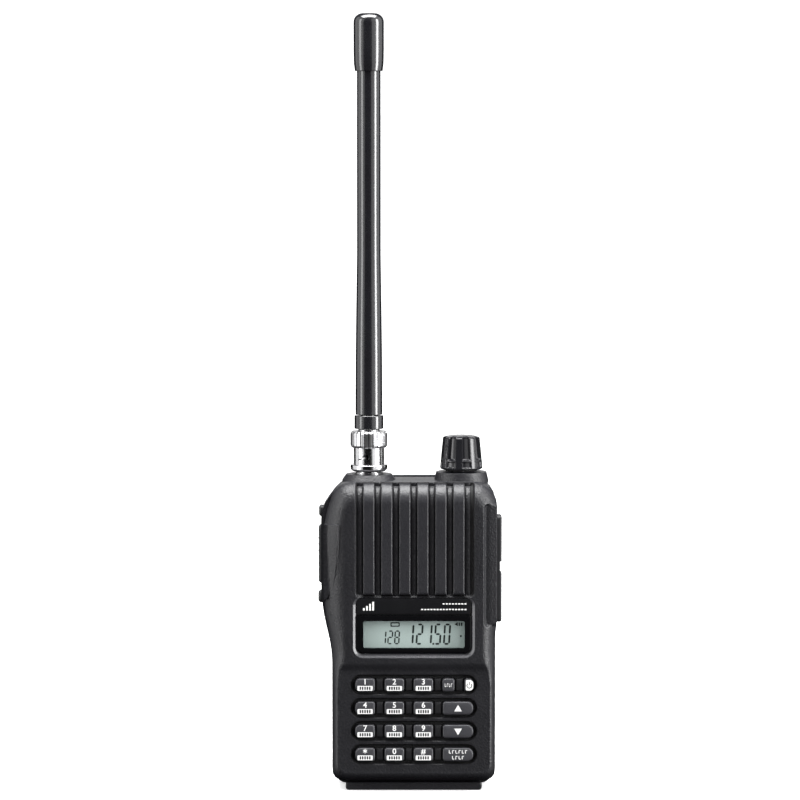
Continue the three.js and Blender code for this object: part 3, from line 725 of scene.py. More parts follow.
def front_depth(points):
    x, z = points[:, 0], points[:, 1]
    depth = base_depth(points)
    wing = ramp(x, wing_edge(z) + 0.4, wing_edge(z)) * ramp(z, WING_TOP_Z + 0.25, WING_TOP_Z)
    rise = WING_RISE * ramp(z, WING_TOP_Z - WING_HEIGHT, WING_TOP_Z)
    wing_face = np.minimum(WING_FACE_Y - WING_SLOPE * ramp(x, -31.5, -26.5), depth - rise)
    depth += wing * (wing_face - depth)
    platform_face = PLATFORM_FACE_Y + PLATFORM_SLOPE * ramp(x, 26.5, 29.6)
    depth += right_platform.share(points) * (platform_face - depth)
    depth += key_field(points)
    depth += display_pocket.depth * display_pocket.share(points)
    depth += display_seat.depth * display_seat.share(points)
    for trough in key_troughs:
        depth += trough.depth * trough.share(points)
    aside = groove_offset(x)
    strip = STRIP_RISE * np.sqrt(np.clip(1 - (aside / STRIP_HALF) ** 2, 0, 1))
    floor = np.maximum(grille_floor(z) - strip, depth)
    depth += grille_recess.share(points) * (floor - depth)
    return depth


# %% [markdown]
# The mesh of the relief is a constrained triangulation of the front view. Blender's own routine takes
# the loops as edges that must stay, adds a point where two loops cross, and fills the rest. The faces in
# the key holes and the window are then dropped, the depth is given to each point, and a second skin
# behind the first, joined to it round every opening, makes a wall of real thickness.

# %% The relief mesh
KEY_NODES = [node for node in frame["nodes"] if node.startswith("key_")]
KEY_RADII = {"left": (1.75, 0.9, 0.9, 1.75), "middle": (0.95,) * 4, "right": (1.0, 2.1, 2.1, 1.0)}
KEY_FLANGE = 0.8


def key_outline(node, grown, steps=6):
    """A key's outline, grown outwards: the keys at the ends of a row are rounder on their outer side."""
    low, high = box_mm(node)
    x0, x1, z0, z1 = low.x + KEY_FLANGE, high.x - KEY_FLANGE, low.z + KEY_FLANGE, high.z - KEY_FLANGE
    if x0 < -20:
        radii = KEY_RADII["left"]
    elif x1 > 20:
        radii = KEY_RADII["right"]
    else:
        radii = KEY_RADII["middle"]
    radii = [max(radius + grown, 0.15) for radius in radii]
    return rounded_box(x0 - grown, x1 + grown, z0 - grown, z1 + grown, radii, steps)


def triangulated(loops, lines):
    """Constrained triangulation of closed loops and open lines in the front view."""
    points = []
    edges = []
    for chain, closed in [(loop, True) for loop in loops] + [(line, False) for line in lines]:
        first = len(points)
        points.extend(Vector(p) for p in chain)
        edges.extend((first + i, first + i + 1) for i in range(len(chain) - 1))
        if closed:
            edges.append((first + len(chain) - 1, first))
    made = delaunay_2d_cdt(points, edges, [], 0, 1e-5)
    return np.array([tuple(p) for p in made[0]]), np.array([tuple(f) for f in made[2]])


flank_shares = [0, 0.03, 0.08, 0.14, 0.22, 0.31, 0.41, 0.52, 0.63, 0.74, 0.84, 0.93, 1]


def matched(outline, count):
    """The outline again, with a number of evenly spaced points."""
    closed = np.vstack([outline, outline[:1]])
    length = np.concatenate([[0], np.cumsum(np.linalg.norm(np.diff(closed, axis=0), axis=1))])
    wanted = np.linspace(0, length[-1], count, endpoint=False)
    return np.column_stack([np.interp(wanted, length, closed[:, k]) for k in (0, 1)])


def shell_loops():
    loops = [shell_outline]
    rim = matched(shell_outline, 220)
    for share in flank_shares[1:]:
        toward = nearest_on(rim, plateau_outline)
        loops.append(rim + (toward - rim) * share)
    for recess in [grille_recess, display_pocket, display_seat, right_platform, *key_troughs]:
        loops.extend(recess.loops())
    loops.append(window_hole.loop(0))
    loops.extend(key_outline(node, 0.35) for node in KEY_NODES)
    return loops


def shell_lines():
    """Open lines where the surface bends away from the loops: the step over the keys and the grille."""
    bend = [*np.arange(STEP_FOOT, STEP_TOP, 0.5), STEP_TOP]
    lines = [np.array([(-STEP_REACH, z), (0, z), (STEP_REACH, z)]) for z in bend]
    heights = np.concatenate([np.arange(71, 100, 4.0), np.arange(100.5, RIM_TOP, 0.6)])
    for groove in range(-3, 4):
        for aside in (-1.1, -0.95, -0.85, -0.6, -0.3, 0, 0.3, 0.6, 0.85, 0.95, 1.1):
            x = groove * RIB_PITCH + aside
            if abs(x) < GROOVE_REACH:
                lines.append(np.array([(x, z) for z in heights]))
    down = WING_TOP_Z - WING_HEIGHT * np.sin(np.linspace(0, math.pi / 2, 26))
    lines += [np.array([(wing_edge(z) + aside, z) for z in down]) for aside in (0, 0.13, 0.27, 0.4)]
    for above in (0, 0.08, 0.17, 0.25):
        lines.append(np.array([(-32.4, WING_TOP_Z + above), (-26.2, WING_TOP_Z + above)]))
    return lines


def nearest_on(points, outline):
    best = np.full(len(points), 1e9)
    found = points.copy()
    for a, b in zip(outline, np.roll(outline, -1, axis=0)):
        along = b - a
        share = np.clip(((points - a) @ along) / max(along @ along, 1e-12), 0, 1)
        place = a + share[:, None] * along
        gap = np.linalg.norm(points - place, axis=1)
        closer = gap < best
        best[closer] = gap[closer]
        found[closer] = place[closer]
    return found


# %% Build the front shell
def painted_shade_places(centres):
    """Painted shade: where the near-black rubber finish is put, down in the key troughs and beside the strips of the
    grille.
    """
    dark = (grille_recess.distance(centres) < -0.1) & (np.abs(groove_offset(centres[:, 0])) > STRIP_HALF)
    for trough in key_troughs:
        dark |= trough.distance(centres) < 0.05
    return dark


def build_front_shell():
    flat, triangles = triangulated(shell_loops(), shell_lines())
    centres = flat[triangles].mean(axis=1)
    kept = inside_outline(centres, shell_outline) & (window_hole.distance(centres) > 0)
    for node in KEY_NODES:
        kept &= ~inside_outline(centres, key_outline(node, 0.35))
    triangles = triangles[kept]
    front = front_depth(flat)
    back = np.minimum(base_depth(flat) + SKIN, RIM_Y)
    count = len(flat)
    points = [(x, y, z) for (x, z), y in zip(flat, front)] + [(x, y, z) for (x, z), y in zip(flat, back)]
    faces = [tuple(t) for t in triangles] + [tuple(t[::-1] + count) for t in triangles]
    seen = {}
    for triangle in triangles:
        for a, b in zip(triangle, np.roll(triangle, -1)):
            seen[(a, b)] = True
    faces.extend((b, a, a + count, b + count) for a, b in seen if (b, a) not in seen)
    used = sorted({i for face in faces for i in face})
    renumbered = {old: new for new, old in enumerate(used)}
    mesh = Mesh()
    mesh.add([points[i] for i in used], [tuple(renumbered[i] for i in face) for face in faces])
    centres = flat[triangles].mean(axis=1)
    pocket = display_pocket.distance(centres)
    # painted highlight: the pocket walls below the strip take the lighter bevel finish
    bevel = (pocket < 0) & (pocket > -display_pocket.wall) & (centres[:, 1] < 69.6)
    # slot 1 is painted shade, the near-black rubber finish in the troughs and grooves
    slots = np.where(painted_shade_places(centres), 1, np.where(bevel, 2, 0))
    mesh.slots[:len(triangles)] = slots.tolist()
    finishes = [case_finish, membrane_finish, bevel_highlight_finish]
    return mesh.finished("front_shell_moulding", finishes, sharp_degrees=50)


front_shell = seat(build_front_shell(), "front_shell")
print("front shell:", len(front_shell.data.polygons), "faces")

# %% [markdown]
# ## The ribs of the grille
# Six equal ribs stand in front of the speaker. What repeats is work for Geometry Nodes: one rib is a grid
# that is bent into a bar by a rule, across for its chamfered section and along for the round top of the
# case, and it is then set on a row of points. The sizes are inputs of the tree, so that the same tree
# makes any grille.

# %% Helpers for geometry trees
def new_geometry(name, finish, **sizes):
    """An empty geometry tree with named inputs for its sizes."""
    group = bpy.data.node_groups.new(name, "GeometryNodeTree")
    group.interface.new_socket("Geometry", in_out="OUTPUT", socket_type="NodeSocketGeometry")
    for label in sizes:
        group.interface.new_socket(label, in_out="INPUT", socket_type="NodeSocketFloat")
    tree = Tree(group)
    source = group.nodes.new("NodeGroupInput")
    tree.sizes = {label: Signal(tree, source.outputs[label]) for label in sizes}
    tree.finish = finish
    tree.values = sizes
    return tree


def grown(tree, name, geometry):
    """Ends the tree, runs it on a new object and returns the plain mesh that it makes."""
    real = tree.node("GeometryNodeRealizeInstances", values={"Geometry": geometry})
    dressed = tree.node("GeometryNodeSetMaterial", values={"Geometry": real, "Material": tree.finish})
    tree.node("NodeGroupOutput", values={"Geometry": dressed})
    carrier = bpy.data.objects.new(name, bpy.data.meshes.new(name + "_seed"))
    bpy.context.scene.collection.objects.link(carrier)
    modifier = carrier.modifiers.new("Rule", "NODES")
    modifier.node_group = tree.inner
    for item in tree.inner.interface.items_tree:
        if item.in_out == "INPUT":
            modifier[item.identifier] = float(tree.values[item.name])
    evaluated = carrier.evaluated_get(bpy.context.evaluated_depsgraph_get())
    data = bpy.data.meshes.new_from_object(evaluated)
    carrier.modifiers.remove(modifier)
    carrier.data = data
    data.name = name
    data.transform(Matrix.Scale(MM, 4))
    return carrier


def smoothed(piece, sharp_degrees, merge_mm=0.002):
    """Merges a seam, closes the ends, turns the faces outward and shades the piece."""
    shape = bmesh.new()
    shape.from_mesh(piece.data)
    bmesh.ops.remove_doubles(shape, verts=shape.verts, dist=merge_mm * MM)
    bmesh.ops.dissolve_degenerate(shape, edges=shape.edges, dist=merge_mm * MM / 4)
    bmesh.ops.holes_fill(shape, edges=[e for e in shape.edges if e.is_boundary], sides=0)
    bmesh.ops.recalc_face_normals(shape, faces=shape.faces)
    shape.to_mesh(piece.data)
    shape.free()
    piece.data.shade_smooth()
    piece.data.set_sharp_from_angle(angle=math.radians(sharp_degrees))
    flatten_shading(piece)
    return piece


def bent_grid(tree, across, along, place):
    """A grid of points whose places come from a rule of two numbers, each from 0 to 1."""
    grid = tree.node("GeometryNodeMeshGrid", values={
        "Size X": 1.0, "Size Y": 1.0, "Vertices X": across, "Vertices Y": along,
    })
    here = tree.node("ShaderNodeSeparateXYZ", values={"Vector": tree.node("GeometryNodeInputPosition")})
    x, y, z = place(here.other("X") + 0.5, here.other("Y") + 0.5)
    spot = tree.node("ShaderNodeCombineXYZ", values={"X": x, "Y": y, "Z": z})
    return tree.node("GeometryNodeSetPosition", values={"Geometry": grid, "Position": spot})


# %% Six ribs from one rule
RIB_COUNT = 6
RIB_TOP = RIM_TOP - 0.4


def build_ribs():
    tree = new_geometry(
        "grille_rib_rule", rib_finish, Width=4.0, Chamfer=0.32, Depth=2.2, Foot=70.55, Top=RIB_TOP,
        Pitch=RIB_PITCH, Face=FRONT,
    )
    size = tree.sizes

    def rib(u, v):
        aside = (u - 0.5) * 8.4
        flat_half = size["Width"] * 0.5 - size["Chamfer"]
        over = tree.math("MAXIMUM", tree.math("ABSOLUTE", aside) - flat_half, 0.0)
        slope = tree.math("MINIMUM", over * 0.8, size["Chamfer"])
        wall = tree.math("MAXIMUM", over - size["Chamfer"] / 0.8, 0.0)
        side = tree.math("SIGN", aside)
        inner = tree.math("MINIMUM", tree.math("ABSOLUTE", aside), flat_half)
        back = tree.clamp((slope + wall) / size["Depth"]) * size["Depth"]
        z = size["Foot"] + (size["Top"] - size["Foot"]) * v
        to_foot = 1 - tree.clamp((z - size["Foot"]) / 0.9)
        foot = 0.55 * to_foot * to_foot
        share = tree.clamp((RIM_TOP - z) / 6.6)
        rest = 1 - CROWN_BEND * share
        rise = (1 - rest * rest) ** CROWN_POWER / CROWN_FULL
        crown_y = CROWN_START_Y + (size["Face"] - CROWN_START_Y) * rise
        flare = 1 + 0.09 * to_foot
        kept = 1 - tree.clamp((tree.math("ABSOLUTE", u - 0.5) - 0.48) * 100.0)
        return side * (inner + slope) * flare * kept, crown_y + tree.math("MAXIMUM", back, foot), z

    bar = bent_grid(tree, 43, 97, rib)
    first = size["Pitch"] * (0.5 - RIB_COUNT / 2)
    row = tree.node("GeometryNodeMeshLine", values={
        "Count": RIB_COUNT,
        "Start Location": tree.node("ShaderNodeCombineXYZ", values={"X": first}),
        "Offset": tree.node("ShaderNodeCombineXYZ", values={"X": size["Pitch"]}),
    })
    ribs = tree.node("GeometryNodeInstanceOnPoints", values={"Points": row, "Instance": bar})
    return smoothed(grown(tree, "grille_ribs", ribs), 50)


grille_ribs = build_ribs()
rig.ride(grille_ribs, BODY_OF["front_shell"])
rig.slot(grille_ribs, "case")
print("ribs:", len(grille_ribs.data.polygons), "faces")

# %% [markdown]
# ## The keys
# Each key is a small block on a flange that keeps it in its hole. It is a loft of rounded outlines: out
# at the flange, in at the neck, up the side, round the edge and over a slightly crowned face. The
# printing is a layer about a tenth of a millimetre thick, let into that face and made as real geometry
# so that it stays crisp, with generic digits and signs only.

# %% Print made of thin shapes
PRINT = 0.03


def thin_plate(mesh, outline, y, slot, thickness=PRINT):
    """A thin plate in the front view, from its outline (x, z)."""
    front = [(x, y - thickness, z) for x, z in outline]
    back = [(x, y, z) for x, z in outline]
    mesh.loft([back, front], slot)


def typed(mesh, characters, x, z, size, y, slot, thickness):
    """Generic digits or signs as thin geometry, centred on a point of the front view."""
    curve = bpy.data.curves.new("print", "FONT")
    curve.body = characters
    curve.size = size
    curve.align_x = "CENTER"
    curve.align_y = "CENTER"
    curve.extrude = thickness / 2
    curve.offset = 0.012 * size
    writer = bpy.data.objects.new("print", curve)
    bpy.context.scene.collection.objects.link(writer)
    evaluated = writer.evaluated_get(bpy.context.evaluated_depsgraph_get())
    data = bpy.data.meshes.new_from_object(evaluated)
    points = [(x + v.co.x, y - thickness / 2 - v.co.z, z + v.co.y) for v in data.vertices]
    mesh.add(points, [tuple(p.vertices) for p in data.polygons], slot)
    bpy.data.objects.remove(writer)


def arc_band(mesh, x, z, radius, width, start, end, y, slot, thickness):
    """A band along an arc, such as the ring of the power sign."""
    angles = np.radians(np.linspace(start, end, 18))
    outer = [(x + radius * math.cos(a), z + radius * math.sin(a)) for a in angles]
    inner = [(x + (radius - width) * math.cos(a), z + (radius - width) * math.sin(a)) for a in angles]
    front = y - thickness
    loops = [[(a, front, b), (a, y, b), (c, y, d), (c, front, d)] for (a, b), (c, d) in zip(outer, inner)]
    mesh.loft(loops, slot)


# %% A key as a loft
KEY_BACK = -11.75
KEY_NECK = -12.35


def key_loops(node, edge=0.5, crown_rise=0.08):
    front = box_mm(node)[0].y
    loops = []

    def level(grown, y):
        loops.append([(x, y, z) for x, z in key_outline(node, grown)])

    level(0.7, KEY_BACK)
    level(0.7, KEY_NECK)
    level(0.0, KEY_NECK)
    top = front + crown_rise + 0.02
    level(-0.02, top + edge)
    for step in range(1, 6):
        angle = math.radians(90 * step / 5)
        level(-0.02 - edge * (1 - math.cos(angle)), top + edge * (1 - math.sin(angle)))
    for share in (0.35, 0.7, 1.0):
        level(-0.02 - edge - 1.0 * share, top - crown_rise * (1 - (1 - share) ** 2))
    return loops, front


KEY_PRINT = 0.11


def row_of_marks(mesh, x, z, count, pitch, face):
    """Upright and cross marks in a row, in place of a word."""
    for k in range(count):
        mark = x + pitch * (k - (count - 1) / 2)
        wide = 0.32 * pitch
        upright = rounded_box(mark - wide, mark - wide * 0.35, z - 0.62, z + 0.62, 0.08, 2)
        thin_plate(mesh, upright, face, 1, KEY_PRINT)
        level = z + (0.5 if k % 2 else -0.5)
        across = rounded_box(mark - wide, mark + wide, level - 0.14, level + 0.14, 0.08, 2)
        thin_plate(mesh, across, face, 1, KEY_PRINT)


LEGEND = {
    "key_1": "1", "key_2": "2", "key_3": "3", "key_4": "4", "key_5": "5", "key_6": "6",
    "key_7": "7", "key_8": "8", "key_9": "9", "key_star": "*", "key_0": "0", "key_hash": "#",
}
DIGIT_RISE = 1.12
DIGIT_SIZE = 2.75
STAR_RISE = 0.62
STAR_SIZE = 3.4
LABEL_HALF = 2.7
LABEL_FOOT = -1.95
LABEL_TOP = -0.25
LABEL_PITCH = 0.84


def build_key(node):
    loops, front = key_loops(node)
    mesh = Mesh()
    mesh.loft(loops)
    middle = middle_mm(node)
    x, z = middle.x, middle.z
    face = front + KEY_PRINT
    if node in LEGEND:
        rise, size = (STAR_RISE, STAR_SIZE) if node == "key_star" else (DIGIT_RISE, DIGIT_SIZE)
        typed(mesh, LEGEND[node], x, z + rise, size, face, 1, KEY_PRINT)
        label = rounded_box(x - LABEL_HALF, x + LABEL_HALF, z + LABEL_FOOT, z + LABEL_TOP, 0.25, 3)
        thin_plate(mesh, label, face, 1, KEY_PRINT - 0.01)
        for k in range(-2, 3):
            mark = x + LABEL_PITCH * k
            stroke = rounded_box(mark - 0.29, mark + 0.29, z - 1.68, z - 0.52, 0.1, 2)
            thin_plate(mesh, stroke, face, 2, KEY_PRINT)
    elif node in ("key_up", "key_down"):
        rise = 1 if node == "key_up" else -1
        corners = [(x - 1.35, z - 1.05 * rise), (x + 1.35, z - 1.05 * rise), (x, z + 1.25 * rise)]
        thin_plate(mesh, corners[::rise], face, 1, KEY_PRINT)
    elif node == "key_power":
        shield = rounded_box(x - 1.15, x + 1.45, z - 1.85, z + 1.85, (0.4, 1.2, 1.2, 0.4), 5)
        thin_plate(mesh, shield, face, 1, KEY_PRINT - 0.015)
        arc_band(mesh, x + 0.1, z - 0.15, 1.02, 0.30, -230, 50, face, 2, KEY_PRINT)
        thin_plate(mesh, rounded_box(x - 0.03, x + 0.23, z + 0.1, z + 1.2, 0.05, 2), face, 2, KEY_PRINT)
    elif node == "key_monitor":
        row_of_marks(mesh, x, z, 4, 0.72, face)
    else:
        row_of_marks(mesh, x, z + 1.05, 6, 1.15, face)
        row_of_marks(mesh, x, z - 1.05, 4, 1.15, face)
    if node == "key_5":
        nib = [[(x - 1.9 + r * math.cos(a), front + y, z + 1.3 + r * math.sin(a))
                for a in np.linspace(0, 2 * math.pi, 12, endpoint=False)]
               for r, y in ((0.3, 0.15), (0.26, 0.03), (0.12, 0.0))]
        mesh.loft(nib)
    body_finish = power_finish if node == "key_power" else key_finish
    return seat(mesh.finished(node + "_cap", [body_finish, white_print, dark_print]), node)


for node in KEY_NODES:
    build_key(node)
print("keys:", len(KEY_NODES))

# %% [markdown]
# Between two keys of a row the rubber sheet shows as a low dark bridge. These bridges are part of the
# sheet behind the keys, so one piece carries them all, and it stands for the sheet.

# %% The rubber sheet behind the keys
def build_keypad_sheet():
    low, high = box_mm("keypad_mat")
    mesh = Mesh()
    levels = [(0.0, high.y), (0.0, low.y + 0.3), (0.4, low.y)]
    mesh.loft([[(x, y, z) for x, z in rounded_box(low.x + g, high.x - g, low.z + g, high.z - g, 2, 4)]
               for g, y in levels])
    for z in KEY_ROW_Z:
        row = sorted((box_mm(n)[0].x + KEY_FLANGE, box_mm(n)[1].x - KEY_FLANGE)
                     for n in KEY_NODES if abs(middle_mm(n).z - z) < 1)
        for (_, gap_start), (gap_end, _) in zip(row, row[1:]):
            middle = (gap_start + gap_end) / 2
            half = (gap_end - gap_start) / 2 - 0.55
            loops = []
            levels = ((0, low.y + 0.2), (0, FRONT + 1.55), (0.12, FRONT + 1.35), (0.35, FRONT + 1.27))
            for inset, y in levels:
                wide, tall = half - inset, 2.1 - inset
                box = rounded_box(middle - wide, middle + wide, z - tall, z + tall, 0.3, 3)
                loops.append([(x, y, zz) for x, zz in box])
            mesh.loft(loops, 1)
    return seat(mesh.finished("keypad_sheet", [membrane_finish, rubber_finish]), "keypad_mat")


keypad_sheet = build_keypad_sheet()
print("rubber sheet:", len(keypad_sheet.data.polygons), "faces")

# %% [markdown]
# ## The display
# From the front to the back there is a sheet with a printed black surround and a clear middle, an air
# gap, and the display itself. The surround and the clear part are two pieces here, because they are two
# finishes with a sharp border. The digits are seven-segment shapes, as on any such display.

# %% The window and its surround
def frame_loops(outer, inner, front, back, edge=0.25):
    """Loops of a ring-shaped plate: round its outside, over its face and down its inner edge."""
    def at(outline, y):
        return [(x, y, z) for x, z in outline]

    o0, o1, i0 = outer(0), outer(-edge), inner(0)
    return [at(i0, back), at(o0, back), at(o0, front + edge), at(outer(-edge * 0.3), front + edge * 0.3),
            at(o1, front), at(i0, front), at(i0, back)]


def build_lens():
    low, high = box_mm("display_lens")
    steps = 6

    def outer(grown):
        radii = [max(r + grown, 0.1) for r in (2.2, 2.2, 0.5, 0.5)]
        return rounded_box(low.x - grown, high.x + grown, low.z - grown, high.z + grown, radii, steps)

    def inner(grown):
        return rounded_box(-17.9 - grown, 18.0 + grown, 51.75 - grown, 61.35 + grown, 0.5, steps)

    mesh = Mesh()
    mesh.loft(frame_loops(outer, inner, low.y, high.y), closed_ends=(False, False))
    ring = mesh.finished("display_surround", [lens_finish])
    clear = Mesh()
    clear.loft([[(x, y, z) for x, z in inner(-0.01)] for y in (low.y + 0.5, low.y)])
    pane = clear.finished("display_window", [window_finish])
    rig.ride(pane, BODY_OF["display_lens"])
    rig.slot(pane, "lens")
    return seat(ring, "display_lens")


surround = build_lens()


# %% The liquid crystal and its segments
SEGMENTS = {
    "0": "abcdef", "1": "bc", "2": "abged", "3": "abgcd", "4": "fgbc", "5": "afgcd", "6": "afgedc",
    "7": "abc", "8": "abcdefg", "9": "abcdfg",
}
SLANT = 0.06


def segment_outlines(width, height, bar):
    """The seven bars of a digit, each a hexagon, centred on the digit."""
    w, h, gap = width / 2 - bar / 2, height / 2 - bar / 2, 0.06
    ends = {
        "a": ((-w, h), (w, h)), "b": ((w, h), (w, 0)), "c": ((w, 0), (w, -h)), "d": ((-w, -h), (w, -h)),
        "e": ((-w, 0), (-w, -h)), "f": ((-w, h), (-w, 0)), "g": ((-w, 0), (w, 0)),
    }
    outlines = {}
    for name, (start, end) in ends.items():
        start, end = np.array(start), np.array(end)
        along = (end - start) / np.linalg.norm(end - start)
        side = np.array([-along[1], along[0]]) * bar / 2
        a, b = start + along * (gap + bar * 0.1), end - along * (gap + bar * 0.1)
        neck = along * bar / 2
        outlines[name] = [a, a + neck + side, b - neck + side, b, b - neck - side, a + neck - side]
    return outlines


def write_digits(mesh, text, x, z, width, height, bar, spacing, y):
    outlines = segment_outlines(width, height, bar)
    for character in text:
        if character == ".":
            dot = x - spacing / 2
            foot = z - height / 2
            thin_plate(mesh, rounded_box(dot - bar / 2, dot + bar / 2, foot, foot + bar, 0.05, 1), y, 1)
            continue
        for name in SEGMENTS[character]:
            points = [(x + px + pz * SLANT, z + pz) for px, pz in outlines[name]]
            thin_plate(mesh, points, y, 1)
        x += spacing
    return x


def build_lcd():
    low, high = box_mm("lcd_panel")
    mesh = Mesh()
    mesh.loft([[(x, y, z) for x, z in rounded_box(low.x, high.x, low.z, high.z, 0.3, 2)]
               for y in (high.y, low.y)])
    write_digits(mesh, "128", -10.75, 55.2, 1.95, 5.0, 0.5, 2.4, low.y)
    write_digits(mesh, "121.50", -1.2, 56.35, 2.5, 7.6, 0.68, 3.25, low.y)
    thin_plate(mesh, rounded_box(-8.3, -5.0, 59.0, 60.6, 0.3, 3), low.y, 1)
    thin_plate(mesh, rounded_box(-7.9, -5.4, 59.4, 60.2, 0.2, 3), low.y - PRINT, 0)
    thin_plate(mesh, [(14.4, 59.9), (15.6, 59.2), (15.6, 60.6)], low.y, 1)
    for k in range(2):
        thin_plate(mesh, rounded_box(15.9 + 0.8 * k, 16.4 + 0.8 * k, 59.3, 60.5, 0.1, 2), low.y, 1)
    thin_plate(mesh, rounded_box(16.4, 17.0, 55.3, 56.0, 0.1, 2), low.y, 1)
    return seat(mesh.finished("lcd", [lcd_finish, segment_finish]), "lcd_panel")


lcd = build_lcd()


# %% The strip above the window
def build_strip():
    low, high = box_mm("name_strip")
    mesh = Mesh()
    loops = []
    for inset, y in ((0, high.y), (0, low.y + 0.25), (0.08, low.y + 0.07), (0.25, low.y)):
        box = rounded_box(low.x + inset, high.x - inset, low.z + inset, high.z - inset, 0.6, 3)
        loops.append([(x, y, z) for x, z in box])
    mesh.loft(loops)
    for k in range(4):
        left = -18 + 1.1 * k
        bar = rounded_box(left, left + 0.6, 65.1, 66.0 + 0.75 * k, 0.1, 2)
        thin_plate(mesh, bar, low.y, 1, 0.02)
    for left, right, z in ((10.2, 19.0, 67.5), (2.6, 19.0, 65.5)):
        count = round((right - left) / 1.1)
        for k in range(count):
            x = left + (right - left) * k / count
            thin_plate(mesh, rounded_box(x, x + 0.72, z - 0.22, z + 0.22, 0.1, 2), low.y, 1, 0.02)
    return seat(mesh.finished("name_strip_plate", [strip_finish, white_print]), "name_strip")


name_strip = build_strip()
print("display and strip done")

# %% [markdown]
# ## The antenna
# The whip is a rubber sheath over a wound spring, with a thicker moulded cap. Both are turned shapes, so
# a profile of radius and height, swept round the antenna's axis, draws them. The profile is rounded where
# rubber is rounded, at the rim of the cap and over its dome.

# %% Turned pieces
def turned(mesh, centre, profile, sides=96, closed_ends=(True, True)):
    """Sweeps a profile of (radius, height) round a vertical axis."""
    angles = np.linspace(0, 2 * math.pi, sides, endpoint=False)
    turn = [(math.cos(a), math.sin(a)) for a in angles]
    loops = [[(centre.x + r * c, centre.y + r * s, z) for c, s in turn] for r, z in profile]
    mesh.loft(loops, closed_ends=closed_ends)


def arc(centre_r, centre_z, radius_r, radius_z, start, end, steps=8):
    """Points of a profile along an arc, with angles in degrees from the outward direction."""
    angles = np.radians(np.linspace(start, end, steps))
    return [(centre_r + radius_r * math.cos(a), centre_z + radius_z * math.sin(a)) for a in angles]


def build_whip():
    low, high = box_mm("antenna_sheath")
    stations = [(4.79, 139), (4.73, 153), (4.55, 168), (4.35, 182), (4.23, 190), (4.23, high.z)]
    heights = np.linspace(low.z + 0.6, high.z, 60)
    radii = np.interp(heights, [s[1] for s in stations], [s[0] for s in stations])
    profile = [(2.95, high.z), (2.95, low.z), (4.6, low.z)] + arc(4.6, low.z + 0.2, 0.21, 0.2, -60, 0, 4)
    profile += list(zip(radii, heights)) + [(2.95, high.z)]
    mesh = Mesh()
    turned(mesh, ANTENNA, profile, closed_ends=(False, False))
    return seat(mesh.finished("antenna_whip_sheath", [whip_finish]), "antenna_sheath")


def build_cap():
    low, high = box_mm("antenna_cap")
    profile = [(4.3, low.z + 0.5), (4.3, low.z), (4.55, low.z)]
    profile += arc(4.75, low.z + 0.35, 0.25, 0.35, -80, 0, 4)
    profile += [(5.08, low.z + 1.2), (5.28, low.z + 2.4), (5.36, low.z + 4), (5.42, low.z + 8)]
    profile += [(5.42, high.z - 3.2)]
    profile += arc(2.2, high.z - 3.2, 3.22, 3.2, 6, 90, 12)
    mesh = Mesh()
    turned(mesh, ANTENNA, profile)
    return seat(mesh.finished("antenna_end_cap", [whip_finish]), "antenna_cap")


whip = build_whip()
cap = build_cap()
print("whip:", len(whip.data.polygons), "faces, cap:", len(cap.data.polygons))

# %% [markdown]
# ## The bayonet connector
# The coupling sleeve is turned brass with a bright plating: a lower rim, a plain barrel and a knurled
# ring for the fingers. The flutes of the ring repeat, so its radius is a rule in Geometry Nodes. The
# barrel's two ramps are real openings. It is drawn flat, as a strip with slots, triangulated with the
# same routine as the front shell, and then wrapped round the axis.

# %% The knurled ring by a rule
def build_knurl():
    high = box_mm("coupling_sleeve")[1]
    tree = new_geometry(
        "knurl_rule", knurl_finish,
        Radius=high.x - ANTENNA.x - 0.02, Bore=4.1, Flutes=float(FLUTES), Depth=0.55,
        Bottom=121.5, Top=high.z, Chamfer=0.75, Axis_X=ANTENNA.x, Axis_Y=ANTENNA.y,
    )
    size = tree.sizes

    def ring(u, v):
        angle = u * (2 * math.pi)
        wave = tree.math("COSINE", angle * size["Flutes"])
        groove = tree.clamp((wave + 0.72) * 3.2, -1.0, 1.0) * 0.5 + 0.5
        span = size["Top"] - size["Bottom"]
        side = tree.clamp((v - 0.2) / 0.6)
        z = size["Bottom"] + span * side
        home = tree.clamp((tree.math("ABSOLUTE", v - 0.5) - 0.42) / 0.08)
        to_end = tree.math("MINIMUM", z - size["Bottom"], size["Top"] - z)
        slope = tree.clamp(to_end / size["Chamfer"])
        outer = size["Radius"] - (1 - slope) * size["Chamfer"] * 0.75 - size["Depth"] * (1 - groove) * slope
        inward = tree.clamp(tree.math("ABSOLUTE", v - 0.5) / 0.1 - 3.0)
        radius = outer + (size["Bore"] - outer) * inward
        x = size["Axis_X"] + radius * tree.math("COSINE", angle)
        y = size["Axis_Y"] + radius * tree.math("SINE", angle)
        middle = (size["Bottom"] + size["Top"]) * 0.5
        return x, y, z + (middle - z) * home

    grid = bent_grid(tree, FLUTES * 20 + 1, 41, ring)
    return smoothed(grown(tree, "knurled_ring", grid), 38)


# %% The barrel with its ramps
def slot_outline(start, end, width, steps=8):
    """A slot with round ends along a line in the flat strip."""
    start, end = np.array(start, float), np.array(end, float)
    heading = math.atan2(*(end - start)[::-1])
    points = []
    for centre, turn in ((end, -90), (start, 90)):
        for a in np.linspace(0, 180, steps):
            angle = heading + math.radians(turn + a)
            points.append(centre + width / 2 * np.array([math.cos(angle), math.sin(angle)]))
    return np.array(points)


